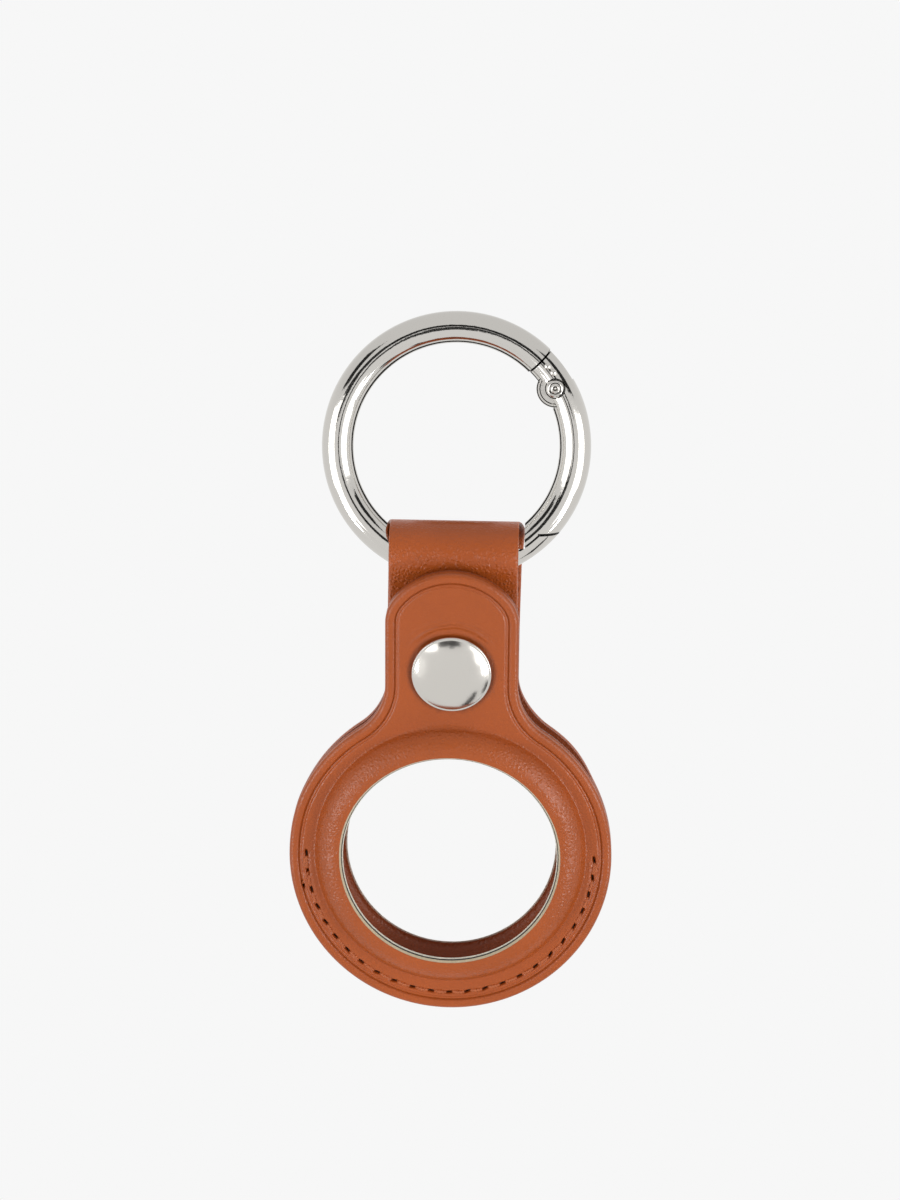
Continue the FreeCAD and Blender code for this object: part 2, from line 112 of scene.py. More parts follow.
@dataclass(frozen=True)
class CaseSizes:
    """Sizes of the case in its own frame: the disc's centre at z 0, the panels' meeting plane at y 0."""

    disc_radius: float = 20.1
    tab_width: float = 16.3
    tab_top: float = 37.6
    tab_crown: float = 6.6
    tab_corner: float = 5.0
    shoulder_radius: float = 7.5
    neck_top: float = 29.0
    neck_step_share: float = 0.02
    leather: float = 0.8
    core: float = 0.4
    lining: float = 0.4
    dome_radius: float = 16.8
    dome_rise: float = 2.4
    dome_middle_share: float = 0.45
    dome_middle_rise_share: float = 0.80
    dome_ease: float = 0.42
    window_lift: float = 0.55
    back_window_lift: float = 0.2
    front_window: float = 13.75
    back_window: float = 13.6
    window_bevel: float = 0.48
    lip_thin_share: float = 0.58
    lip_width: float = 1.6
    lip_settle_share: float = 0.01
    lip_settle_width: float = 0.6
    fold_axis_y: float = -4.0
    fold_start: float = -0.4
    fold_end: float = 7.0
    flap_lean: float = 8.0
    back_bulge: float = 0.60
    bulge_foot: Span = (9.0, 15.0)
    bulge_head: Span = (23.0, 17.0)
    bulge_side: Span = (0.0, 10.0)
    place: Place = (0.0, -3.1315, -51.3434)

    @property
    def thickness(self) -> float:
        """Thickness of a whole panel."""
        return self.leather + self.core + self.lining


@dataclass(frozen=True)
class SurfaceSizes:
    """Rolled rim, creases, pressed places, their painted shade and grain of a panel's shown face; insets are
    from the outline.
    """

    roll: float = 0.45
    bead_height: float = 0.11
    bead_inset: float = 0.62
    bead_width: float = 0.42
    crease_depth: float = 0.17
    crease_inset: float = 1.22
    crease_width: float = 0.10
    # painted shade: how dark the crease's line is coloured, and the width of that colour
    crease_painted_shade: float = 0.28
    crease_painted_shade_width: float = 0.20
    second_depth: float = 0.08
    second_inset: float = 1.62
    second_width: float = 0.08
    back_fade: Span = (19.0, 26.0)
    groove_width: float = 0.34
    groove_fade: Span = (-0.5, 1.5)
    inner_inset: float = 9.0
    press_depth: float = 0.16
    press_width: float = 0.55
    # painted shade: a dark ring coloured into the leather just outside the snap's button
    press_painted_shade: float = 0.45
    press_painted_shade_step: float = 0.10
    press_painted_shade_width: float = 0.25
    wrinkle_sector: Span = (0.40, 0.85)
    wrinkle_core: float = 0.1
    wrinkle_step: float = 1.2
    wrinkle_width: float = 1.1
    grain_edge: Span = (0.6, -0.8)
    grain_base: float = 0.85
    grain_side: float = 0.45
    foot_grain: float = 0.8
    foot_grain_width: float = 0.5
    foot_grain_fade: Span = (-10.0, 2.0)


@dataclass(frozen=True)
class StrapSizes:
    """Sizes of the hanging strap in the case's frame, and its share of painted light; width_places are shares
    of its length.
    """

    thickness: float = 0.75
    start_length: float = 4.0
    crown_thinning: float = 0.32
    crown_reach: float = 3.5
    width_back: float = 16.5
    width_loop: float = 17.1
    width_front: float = 15.8
    width_places: tuple[float, ...] = (0.0, 0.20, 0.28, 0.31, 0.37)
    loop_y: float = 0.4
    loop_z: float = 38.47
    loop_radius: float = 3.587
    knee_radius: float = 2.6
    knee_drop: float = 8.6
    leg_offset: float = 0.4
    tail_end: float = 19.4
    tail_corner: float = 4.0
    tail_gap: float = 0.02
    edge_round: float = 0.26
    crown_grain: float = 0.6
    leg_grain: float = 2.1
    grain_reach: Span = (2.5, 6.5)
    # painted light: the share by which the strap's colour is lightened
    pale: float = 0.09


@dataclass(frozen=True)
class StitchSizes:
    """Sizes of the sewing round the lower half of the disc; rates set the repeatable unevenness."""

    inset: float = 2.15
    count: int = 24
    thread_radius: float = 0.2
    sink: float = 0.14
    end_drop: float = 0.34
    arch_power: float = 0.5
    stagger: float = 0.05
    uneven_rise: float = 0.03
    rise_rate: float = 3.0
    ply_turns: float = 2.2
    ply_depth: float = 0.22
    tack_aside: float = 0.28
    hole_length: float = 0.45
    hole_width: float = 0.15
    hole_depth: float = 0.50
    hole_share: float = 0.155
    hole_wander: float = 0.05
    wander_rate: float = 7.0
    hole_turn: float = 6.0
    hole_spread: float = 9.0
    spread_rate: float = 5.0
    stray_angle: float = 192.5
    stray_inset: float = 1.30


@dataclass(frozen=True)
class Button:
    """A round button of the snap: a dome that falls to a rolled rim."""

    radius: float
    height: float
    rim_height: float
    rim_start_share: float
    rim_overlap_share: float
    dome_power: float
    roll_start: float
    dome_steps: int
    roll_steps: int

    def profile(self) -> np.ndarray:
        """Section of the button: a power curve down from the crown, then the rim's circle to its foot.

        Returns:
            Radii and heights from the crown to the middle of the underside.
        """
        rim = self.rim_height / 2
        dome = np.linspace(0.0, self.radius - rim * self.rim_start_share, self.dome_steps)
        fall = self.height - self.rim_height * self.rim_overlap_share
        crown = self.height - fall * (dome / dome[-1]) ** self.dome_power
        bend = np.linspace(math.radians(self.roll_start), -math.pi / 2, self.roll_steps)
        roll = np.stack([self.radius - rim + rim * np.cos(bend), rim + rim * np.sin(bend)], axis=-1)
        return np.vstack([np.stack([dome, crown], axis=-1), roll, [[0.0, 0.0]]])


@dataclass(frozen=True)
class SnapSizes:
    """The snap's shown buttons, with the heights of their axes above the disc's centre."""

    height: float = 24.6
    back_height: float = 25.02
    cap: Button = Button(4.92, 1.5, 0.55, rim_start_share=0.9, rim_overlap_share=0.92, dome_power=2.8,
                         roll_start=62.0, dome_steps=34, roll_steps=16)
    post: Button = Button(4.2, 0.7, 0.3, rim_start_share=1.0, rim_overlap_share=1.0, dome_power=2.0,
                          roll_start=70.0, dome_steps=26, roll_steps=12)


@dataclass(frozen=True)
class RingSizes:
    """Sizes of the ring's small details, in the ring's own plane before it leans back."""

    lean: float = -12.1
    radius: float = 14.55
    wire_radius: float = 1.95
    rivet_angle: float = 31.0
    rivet_inset: float = 0.6
    rivet_radius: float = 1.12
    rivet_seat: float = 1.76
    rivet_height: float = 0.36
    rivet_rolls: float = 2.5
    rivet_roll_depth: float = 0.38
    rivet_edge: float = 0.02
    rivet_root: float = 0.4
    rivet_root_share: float = 0.98
    # radii of painted dark lines: painted shade in the rivet's grooves, and on the knuckle a painted contact
    # shadow at the cheek's edge and a painted dark reflection of its rounded rim
    rivet_lines: tuple[float, ...] = (0.22, 0.67, 1.19)
    knuckle_lines: tuple[float, ...] = (1.87, 2.20)
    knuckle_reach: float = 13.3
    line_half: float = 0.06
    dimple_radius: float = 0.42
    dimple_height: float = 0.30
    dimple_root: float = 0.3
    dimple_root_share: float = 0.9
    dimple_seat_share: float = 0.96
    dimple_places: tuple[Span, ...] = ((14.78, 42.0), (14.84, 38.0))
    heel_angle: float = 46.5
    cut_slant: float = 12.0
    cut_skin: float = 0.05
    gap: float = 0.15
    lap_gap_share: float = 1.6
    lap_level: float = -10.185
    lap_start: float = 10.2
    nose_level: float = -12.3

    def in_plane(self, radius: float, angle: float) -> Span:
        """X and Z, before the ring leans, at a radius and an angle in degrees from +X."""
        turn = math.radians(angle)
        return radius * math.cos(turn), radius * math.sin(turn)

    @property
    def rivet_place(self) -> Span:
        """X and Z of the rivet's axis."""
        return self.in_plane(self.radius - self.rivet_inset, self.rivet_angle)


def smooth_step(value: np.ndarray, start: float, end: float) -> np.ndarray:
    """Eases from 0 at the start to 1 at the end, as three squares less two cubes of the share."""
    share = np.clip((value - start) / (end - start), 0.0, 1.0)
    return share * share * (3.0 - 2.0 * share)


def ridge(value: np.ndarray, centre: float, width: float) -> np.ndarray:
    """Bell curve of height 1 about a centre, fallen to 1/e at the width."""
    return np.exp(-(((value - centre) / width) ** 2))


def circle_way(angle: np.ndarray | float) -> np.ndarray:
    """Unit ways at the given angles: cosine and sine, last."""
    return np.stack([np.cos(angle), np.sin(angle)], axis=-1)


def turn_about_x(points: np.ndarray, angle: np.ndarray | float, y: float, z: float) -> np.ndarray:
    """Turns points about an axis along X, each by its own angle.

    Args:
        points: Array of points, with X, Y, Z last.
        angle: Turn in radians, one for all points or one each; positive leans the top forward.
        y: Y of the axis.
        z: Z of the axis.

    Returns:
        The turned points.
    """
    away_y = points[..., 1] - y
    away_z = points[..., 2] - z
    turned_y = away_y * np.cos(angle) - away_z * np.sin(angle)
    turned_z = away_y * np.sin(angle) + away_z * np.cos(angle)
    return np.stack([points[..., 0], turned_y + y, turned_z + z], axis=-1)


def turn_profile(profile: np.ndarray, centre: Span, base: float, face: Face,
                 steps: int) -> tuple[np.ndarray, np.ndarray]:
    """Turns a profile of radii and heights about an axis along Y.

    Args:
        profile: Radii and heights from pole to pole, of shape (count, 2).
        centre: X and Z of the axis.
        base: Distance of height 0 from the plane y = 0.
        face: Side to which the heights rise.
        steps: Points round the axis.

    Returns:
        The turned grid without its poles, and the two poles.
    """
    angle = np.linspace(0.0, TURN, steps, endpoint=False)
    ring = profile[1:-1]
    x = centre[0] + ring[:, :1] * np.cos(angle)
    z = centre[1] + ring[:, :1] * np.sin(angle)
    y = np.broadcast_to(face.value * (base + ring[:, 1:]), x.shape)
    ends = face.value * (base + profile[[0, -1], 1])
    poles = np.stack([np.full(2, centre[0]), ends, np.full(2, centre[1])], axis=-1)
    return np.stack([x, y, z], axis=-1), poles


def link_object(name: str, data: bpy.types.ID) -> bpy.types.Object:
    """Makes an object and links it to the scene.

    Args:
        name: Name of the object.
        data: Its mesh, lamp or camera.

    Returns:
        The object, at the origin.
    """
    made = bpy.data.objects.new(name, data)
    bpy.context.scene.collection.objects.link(made)
    return made


def dress(piece: bpy.types.Object, finish: bpy.types.Material) -> None:
    """Puts a finish on a new piece."""
    piece.data.materials.append(finish)


@dataclass
class Shape:
    """Points, faces and shading values of one piece, gathered patch by patch in millimetres."""

    points: list[np.ndarray] = field(default_factory=list)
    quads: list[np.ndarray] = field(default_factory=list)
    triangles: list[np.ndarray] = field(default_factory=list)
    values: dict[str, list[np.ndarray]] = field(default_factory=dict)
    total: int = 0
    double_distance: float = 1e-7  # in metres

    def add_points(self, points: np.ndarray, values: dict[str, np.ndarray | float]) -> int:
        """Takes in loose points with their shading values.

        Args:
            points: Array of points, with X, Y, Z last.
            values: Shading values by name, one for all points or one each.

        Returns:
            Number of the first point taken in.
        """
        start = self.total
        flat = points.reshape(-1, 3)
        for name, value in values.items():
            spread = np.broadcast_to(value, points.shape[:-1])
            self.values.setdefault(name, []).append(spread.reshape(-1))
        self.points.append(flat)
        self.total += len(flat)
        return start

    def add_grid(self, points: np.ndarray, close_rows: bool = False, close_columns: bool = False,
                 **values: np.ndarray | float) -> None:
        """Takes in a two-parameter grid and joins neighbours by quads.

        Args:
            points: Array of shape (rows, columns, 3).
            close_rows: Join the last row to the first.
            close_columns: Join the last column to the first.
            **values: Shading values by name.
        """
        rows, columns = points.shape[:2]
        start = self.add_points(points, values)
        number = np.arange(rows * columns).reshape(rows, columns) + start
        if close_rows:
            number = np.vstack([number, number[:1]])
        if close_columns:
            number = np.hstack([number, number[:, :1]])
        corners = [number[:-1, :-1], number[1:, :-1], number[1:, 1:], number[:-1, 1:]]
        self.quads.append(np.stack(corners, axis=-1).reshape(-1, 4))

    def add_cap(self, rim: np.ndarray, centre: np.ndarray, **values: np.ndarray | float) -> None:
        """Closes a rim by a fan of triangles about one point.

        Args:
            rim: Points of the closed rim, of shape (count, 3).
            centre: The fan's middle point.
            **values: Shading values by name.
        """
        start = self.add_points(np.vstack([rim, centre[None]]), values)
        count = len(rim)
        first = np.arange(count) + start
        middle = np.full(count, start + count)
        self.triangles.append(np.stack([first, np.roll(first, -1), middle], axis=-1))

    def add_tube(self, points: np.ndarray, poles: np.ndarray | None = None,
                 **values: np.ndarray | float) -> None:
        """Takes in rings of points as a tube and closes it at both ends by fans.

        Args:
            points: Grid of rings, of shape (rings, steps, 3).
            poles: Middles of the two fans, or None for the means of the end rings.
            **values: Shading values by name on the rings; they are 0 on the fans.
        """
        self.add_grid(points, close_columns=True, **values)
        ends = points[[0, -1]]
        for rim, middle in zip(ends, ends.mean(axis=1) if poles is None else poles):
            self.add_cap(rim, middle, **dict.fromkeys(values, 0.0))

    def to_object(self, name: str, place: Place = (0.0, 0.0, 0.0),
                  sharp: float | None = None) -> bpy.types.Object:
        """Makes the mesh in metres, with its doubles joined and its faces turned outward.

        Args:
            name: Name of the object and its mesh.
            place: Shift of the piece's own frame in the part's frame, in millimetres.
            sharp: Angle in degrees above which an edge is shaded sharp, or None for none.

        Returns:
            The object, at the origin.
        """
        points = (np.vstack(self.points) + np.array(place)) * METRE
        faces = [face for patch in (*self.quads, *self.triangles) for face in patch.tolist()]
        mesh = bpy.data.meshes.new(name)
        mesh.from_pydata(points.tolist(), [], faces)
        for key, parts in self.values.items():
            attribute = mesh.attributes.new(key, "FLOAT", "POINT")
            attribute.data.foreach_set("value", np.concatenate(parts).astype(np.float32))
        shell = bmesh.new()
        shell.from_mesh(mesh)
        bmesh.ops.remove_doubles(shell, verts=shell.verts, dist=self.double_distance)
        bmesh.ops.recalc_face_normals(shell, faces=shell.faces)
        shell.to_mesh(mesh)
        shell.free()
        mesh.shade_smooth()
        if sharp is not None:
            mesh.set_sharp_from_angle(angle=math.radians(sharp))
        return link_object(name, mesh)


@dataclass(frozen=True)
class Outline:
    """Closed edge of a panel in plan, with the way in which its rows step in from it."""

    points: np.ndarray
    outward: np.ndarray

    @staticmethod
    def arc(centre: Span, radius: float, first: float, last: float, spacing: float,
            hollow: bool = False) -> tuple[np.ndarray, np.ndarray]:
        """Points and outward ways along an arc, at least three and without its last point.

        Args:
            centre: Centre of the arc, as x and z.
            radius: Radius of the arc.
            first: Angle of the first point in radians.
            last: Angle of the end in radians.
            spacing: Distance between points.
            hollow: The arc's centre lies outside the panel.

        Returns:
            Points and outward unit ways, each of shape (count, 2).
        """
        count = max(3, round(abs(last - first) * radius / spacing))
        way = circle_way(np.linspace(first, last, count, endpoint=False))
        return np.array(centre) + radius * way, -way if hollow else way

    @classmethod
    def of_panel(cls, sizes: CaseSizes, spacing: float, square: bool) -> "Outline":
        """Edge of a panel: disc, hollow shoulders and a tab, walked from the bottom round by the right.

        The shoulder's circle touches the disc and the tab's side from outside. The tab's rounded top is
        an arc that touches the circles of its two corners. The left half mirrors the right one.

        Args:
            sizes: Sizes of the case.
            spacing: Distance between points.
            square: Cut the tab off square at the neck, as on the back, instead of rounding its top.

        Returns:
            The closed outline.
        """
        side, shoulder = sizes.tab_width / 2, sizes.shoulder_radius
        centre = (side + shoulder, math.sqrt((sizes.disc_radius + shoulder) ** 2 - (side + shoulder) ** 2))
        join = math.atan2(centre[1], centre[0])
        runs = [cls.arc((0.0, 0.0), sizes.disc_radius, -math.pi / 2, join, spacing),
                cls.arc(centre, shoulder, join + math.pi, math.pi, spacing, hollow=True)]
        side_top = sizes.neck_top if square else sizes.tab_top - sizes.tab_crown
        height = np.linspace(centre[1], side_top, round((side_top - centre[1]) / spacing), endpoint=False)
        runs.append((np.stack([np.full_like(height, side), height], axis=-1),
                     np.tile([1.0, 0.0], (len(height), 1))))
        if square:
            across = np.linspace(1.0, 0.0, round(side / spacing))
            runs.append((np.stack([across * side, np.full_like(across, side_top)], axis=-1),
                         np.stack([across, np.full_like(across, sizes.neck_step_share)], axis=-1)))
        else:
            corner, crown = sizes.tab_corner, sizes.tab_crown
            top_radius = ((side - corner) ** 2 + crown ** 2 - corner ** 2) / (2 * (crown - corner))
            top_centre = sizes.tab_top - top_radius
            turn = math.pi / 2 - math.atan2(side - corner, side_top - top_centre)
            runs += [cls.arc((side - corner, side_top), corner, 0.0, turn, spacing),
                     cls.arc((0.0, top_centre), top_radius, turn, math.pi / 2, spacing),
                     (np.array([[0.0, sizes.tab_top]]), np.array([[0.0, 1.0]]))]
        right = (np.vstack(half) for half in zip(*runs))
        return cls(*(np.vstack([half, half[-2:0:-1] * [-1.0, 1.0]]) for half in right))


@dataclass(frozen=True)
class LayerCut:
    """One layer of a panel: its slot, and its depths below the shown face."""

    slot: Slot
    top: float
    bottom: float


@dataclass
class Panel:
    """A panel of three layers, each a closed grid of rows between the outline and the window.

    Heights above the face come from the dome's arc, eased into the flat by a smooth maximum, and from
    the rim's roll and creases. The shown leather has close rows, and the hidden faces have few.
    """

    face: Face
    sizes: CaseSizes
    stitch: StitchSizes
    snap: SnapSizes
    surface: SurfaceSizes = SurfaceSizes()
    spacing: float = 0.21
    border: float = 2.7
    rim_insets: tuple[float, ...] = (0.0, 0.03, 0.09, 0.18, 0.3, 0.45, 0.65, 0.85)
    crease_insets: Span = (1.0, 0.075)  # start and step
    hidden_insets: tuple[float, ...] = (0.03, 0.5, 1.5)
    flat_end: float = 0.97
    foot_step: float = 0.02
    shown_rows: tuple[int, int] = (26, 24)
    hidden_rows: tuple[int, int] = (8, 14)
    wall_rows: int = 4
    skin: float = 0.015
    sharp: float = 50.0
    outline: Outline = field(init=False)

    def __post_init__(self) -> None:
        """Walks the outline once for all layers."""
        self.outline = Outline.of_panel(self.sizes, self.spacing, square=self.face is Face.BACK)

    @property
    def window(self) -> float:
        """Radius of the leather's window."""
        return self.sizes.front_window if self.face is Face.FRONT else self.sizes.back_window

    @property
    def lift(self) -> float:
        """Height of the window's centre above the disc's."""
        return self.sizes.window_lift if self.face is Face.FRONT else self.sizes.back_window_lift

    def layers(self) -> list[LayerCut]:
        """Lists the layers from the shown face inwards.

        Returns:
            The three layers.
        """
        first = self.sizes.leather
        second = first + self.sizes.core
        return [LayerCut(Slot.LEATHER, 0.0, first), LayerCut(Slot.CORE, first, second),
                LayerCut(Slot.LINING, second, self.sizes.thickness)]

    def dome_height(self, radius: np.ndarray) -> np.ndarray:
        """Height of the dome over the face.

        A circle runs through foot, shoulder and lip, and goes on outside the foot along its tangent.
        Half the sum of that height and the root of its square plus the ease's square rounds it into the
        flat. At the lip the dome settles by a small share.

        Args:
            radius: Distances from the window's axis.

        Returns:
            Heights in millimetres.
        """
        sizes = self.sizes
        foot, rise, lip = sizes.dome_radius, sizes.dome_rise, self.window
        middle = foot + (lip - foot) * sizes.dome_middle_share
        marks = np.array([[foot, 0.0], [middle, rise * sizes.dome_middle_rise_share], [lip, rise]])
        chords = np.diff(marks, axis=0)
        halves = (marks[1:] + marks[:-1]) / 2
        centre = np.linalg.solve(chords, np.sum(chords * halves, axis=1))
        bend = np.hypot(*(marks[0] - centre))
        inside = np.minimum(radius, foot)
        arc = centre[1] + np.sqrt(np.maximum(bend ** 2 - (inside - centre[0]) ** 2, 0.0))
        slope = (centre[0] - foot) / centre[1]
        raw = arc - slope * np.maximum(radius - foot, 0.0)
        settle = sizes.lip_settle_share * smooth_step(radius, lip + sizes.lip_settle_width, lip)
        return (raw + np.sqrt(raw ** 2 + sizes.dome_ease ** 2)) / 2 * (1.0 - settle)

    def hole_places(self) -> np.ndarray:
        """Angles of the needle holes, even round the lower half of the disc but for a small wander.

        Returns:
            Angles in radians from +X.
        """
        stitch = self.stitch
        number = np.arange(stitch.count + 1)
        wander = stitch.hole_wander * np.sin(stitch.wander_rate * number)
        return np.pi + math.pi / stitch.count * (number + wander)

    def holes(self, x: np.ndarray, z: np.ndarray) -> np.ndarray:
        """Needle holes: slits along the row, each the fall of e by the fourth powers of two distances.

        Args:
            x: X of the points.
            z: Z of the points.

        Returns:
            Depth at each point, from 0 to 1.
        """
        stitch = self.stitch
        angle = self.hole_places()
        inset = np.full_like(angle, stitch.inset)
        if self.face is Face.FRONT:
            angle = np.append(angle, math.radians(stitch.stray_angle))
            inset = np.append(inset, stitch.stray_inset)
        spread = stitch.hole_spread * np.sin(stitch.spread_rate * np.arange(len(angle)))
        way = circle_way(angle + np.radians(stitch.hole_turn + spread) + math.pi / 2)
        middle = (self.sizes.disc_radius - inset)[:, None] * circle_way(angle)
        away = np.stack([x, z], axis=-1)[..., None, :] - middle
        along = np.sum(away * way, axis=-1)
        across = away[..., 0] * way[..., 1] - away[..., 1] * way[..., 0]
        return np.exp(-(along / stitch.hole_length) ** 4 - (across / stitch.hole_width) ** 4).max(axis=-1)

    def relief(self, inset: np.ndarray, x: np.ndarray, z: np.ndarray) -> tuple[np.ndarray, np.ndarray]:
        """Rim and sewing of the shown face: a quarter circle, and bells for bead, creases and groove.

        Args:
            inset: Distances from the outline.
            x: X of the points.
            z: Z of the points.

        Returns:
            Heights over the face, and the painted shade of each point in a crease or needle hole, from 0 to
            1.
        """
        rim = self.surface
        drop = np.clip((rim.roll - inset) / rim.roll, 0.0, 1.0)
        fade = 1.0 if self.face is Face.FRONT else 1.0 - smooth_step(z, *rim.back_fade)
        crease = (rim.crease_depth * ridge(inset, rim.crease_inset, rim.crease_width)
                  + rim.second_depth * ridge(inset, rim.second_inset, rim.second_width))
        bead = rim.bead_height * ridge(inset, rim.bead_inset, rim.bead_width)
        groove = self.stitch.sink * ridge(inset, self.stitch.inset, rim.groove_width)
        groove = groove * (1.0 - smooth_step(z, *rim.groove_fade))
        hole = self.holes(x, z)
        height = fade * (bead - crease) - rim.roll * (1.0 - np.sqrt(1.0 - drop ** 2)) - groove
        # painted shade: the creases and the needle holes are darkened in colour
        line = fade * crease / rim.crease_depth * ridge(inset, rim.crease_inset, rim.crease_painted_shade_width)
        return height - self.stitch.hole_depth * hole, np.clip(rim.crease_painted_shade * line + hole, 0.0, 1.0)

    def pressing(self, x: np.ndarray, z: np.ndarray) -> tuple[np.ndarray, np.ndarray, np.ndarray]:
        """Leather pressed in round the snap's button, with painted shade in a ring just outside it and
        wrinkles in a sector above the cap.

        Args:
            x: X of the points.
            z: Z of the points.

        Returns:
            Depths, painted shade and wrinkling, the last two from 0 to 1.
        """
        press, front = self.surface, self.face is Face.FRONT
        edge = (self.snap.cap if front else self.snap.post).radius
        up = z - (self.snap.height if front else self.snap.back_height)
        away = np.hypot(x, up)
        depth = press.press_depth * ridge(away, edge, press.press_width)
        # painted shade: a dark ring coloured just outside the button's edge
        dark = press.press_painted_shade * ridge(away, edge + press.press_painted_shade_step, press.press_painted_shade_width)
        above = smooth_step(up / np.maximum(away, press.wrinkle_core), *press.wrinkle_sector)
        wrinkle = above * ridge(away, edge + press.wrinkle_step, press.wrinkle_width)
        return depth, dark, wrinkle if front else np.zeros_like(x)

    def zones(self, shown: bool, lip: float) -> tuple[np.ndarray, np.ndarray, np.ndarray]:
        """Steps of a face's rows, close together on the shown leather.

        Args:
            shown: The face is the shown leather.
            lip: Radius of the face's window.

        Returns:
            Insets in the border, shares of the way over the flat, and radii on the dome.
        """
        flats, radii = self.shown_rows if shown else self.hidden_rows
        insets = np.array(self.hidden_insets)
        if shown:
            start, step = self.crease_insets
            insets = np.concatenate([self.rim_insets, np.arange(start, self.border, step)])
        foot = self.sizes.dome_radius - self.foot_step
        return insets, np.linspace(0.0, self.flat_end, flats), np.linspace(foot, lip, radii)

    def plan(self, insets: np.ndarray, flats: np.ndarray, radii: np.ndarray) -> np.ndarray:
        """Plan of a face's rows.

        In the border a row is the outline, stepped in along its outward ways. On the flat it lies on the
        straight lines from the border's end to the dome's foot, and on the dome on a circle about the
        window's centre.

        Args:
            insets: Steps of the border's rows.
            flats: Shares of the flat's rows.
            radii: Radii of the dome's rows.

        Returns:
            X and Z of the points, of shape (rows, columns, 2).
        """
        points, outward = self.outline.points, self.outline.outward
        centre = np.array([0.0, self.lift])
        edge = points - self.border * outward
        way = (edge - centre) / np.linalg.norm(edge - centre, axis=1, keepdims=True)
        foot = centre + self.sizes.dome_radius * way
        insets, flats, radii = (step[:, None, None] for step in (insets, flats, radii))
        return np.concatenate([points - insets * outward, edge + flats * (foot - edge), centre + radii * way])

    def rows(self, shown: bool, lip: float, depth: float) -> tuple[np.ndarray, dict[str, np.ndarray]]:
        """Rows of one face of a layer, from the outline in to the window.

        A point's height is the panel's thickness, the dome and the relief, less the face's depth, which
        thins towards the lip.

        Args:
            shown: The face is the shown leather, with rim, creases and holes.
            lip: Radius of the face's window.
            depth: Depth of the face below the panel's shown face.

        Returns:
            Points of shape (rows, columns, 3), and the shading values of each point by name.
        """
        sizes, surface = self.sizes, self.surface
        insets, flats, radii = self.zones(shown, lip)
        flat = self.plan(insets, flats, radii)
        x, z = flat[..., 0], flat[..., 1]
        from_axis = np.hypot(x, z - self.lift)
        height = self.dome_height(from_axis)
        dark, wrinkle = np.zeros_like(x), np.zeros_like(x)
        if shown:
            inset = np.append(insets, np.full(len(flats) + len(radii), surface.inner_inset))
            more, lines = self.relief(np.broadcast_to(inset[:, None], x.shape), x, z)
            pressed, pressed_painted_shade, wrinkle = self.pressing(x, z)
            height = height + more - pressed
            # painted shade in the creases, the needle holes and the ring round the snap's button
            dark = np.maximum(lines, pressed_painted_shade)
        thin = sizes.lip_thin_share * smooth_step(from_axis, self.window + sizes.lip_width, self.window)
        y = self.face.value * (sizes.thickness + height - depth * (1.0 - thin))
        outer, inner = (sizes.dome_radius + step for step in surface.grain_edge)
        grain = surface.grain_base + surface.grain_side * (x / from_axis) ** 2
        foot = surface.foot_grain * ridge(from_axis, sizes.dome_radius, surface.foot_grain_width)
        grain = np.maximum(grain * smooth_step(from_axis, outer, inner),
                           foot * smooth_step(z, *surface.foot_grain_fade))
        return np.stack([x, y, z], axis=-1), {"dark": dark, "grain": grain, "wrinkle": wrinkle}

    def bent(self, points: np.ndarray) -> np.ndarray:
        """Leans the front panel's flap on its fold, or swells the back panel's right shoulder.

        Args:
            points: The flat panel's points, with X, Y, Z last.

        Returns:
            The bent panel's points.
        """
        sizes = self.sizes
        x, y, z = np.moveaxis(points, -1, 0)
        if self.face is Face.FRONT:
            lean = math.radians(sizes.flap_lean) * smooth_step(z, sizes.fold_start, sizes.fold_end)
            return turn_about_x(points, lean, sizes.fold_axis_y, 0.0)
        bulge = smooth_step(z, *sizes.bulge_foot) * smooth_step(z, *sizes.bulge_head)
        return np.stack([x + sizes.back_bulge * bulge * smooth_step(x, *sizes.bulge_side), y, z], axis=-1)

    def build_layer(self, cut: LayerCut) -> bpy.types.Object:
        """Builds one layer as a closed grid: shown face, window's slanted cut, hidden face, outer edge.

        Args:
            cut: The layer's depths.

        Returns:
            The layer's mesh object.
        """
        shown = cut.slot is Slot.LEATHER
        bevel = self.sizes.window_bevel / self.sizes.thickness
        top = cut.top if shown else cut.top + self.skin
        face, shading = self.rows(shown, self.window - bevel * cut.top, top)
        hidden, hidden_shading = self.rows(False, self.window - bevel * cut.bottom, cut.bottom - self.skin)
        share = np.linspace(0.0, 1.0, self.wall_rows + 2)[1:-1, None, None]
        wall = face[-1] + share * (hidden[-1] - face[-1])
        points = np.concatenate([face, wall, hidden[::-1]])
        raw = np.zeros(points.shape[:2])
        raw[len(face) - (0 if shown else 1):len(face) + len(wall) + 1] = 1.0
        plain = np.zeros(wall.shape[:2])
        values = {name: np.concatenate([value, plain, hidden_shading[name][::-1]])
                  for name, value in shading.items()}
        shape = Shape()
        shape.add_grid(self.bent(points), close_rows=True, close_columns=True, cut=raw, **values)
        name = f"{self.face.name.lower()}_{cut.slot.value}_skin"
        return shape.to_object(name, self.sizes.place, self.sharp)

    def build(self, finishes: Finishes) -> list[bpy.types.Object]:
        """Builds, dresses and fixes all layers.

        Args:
            finishes: Materials by slot.

        Returns:
            The layers' objects.
        """
        made = []
        for cut in self.layers():
            layer = self.build_layer(cut)
            dress(layer, finishes[cut.slot])
            if self.face is Face.FRONT:
                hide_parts(f"front_{cut.slot.value}", f"flap_{cut.slot.value}")
                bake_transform(layer)
            else:
                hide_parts(f"back_{cut.slot.value}")
                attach(layer, Body.CASE.value)
            made.append(layer)
        return made


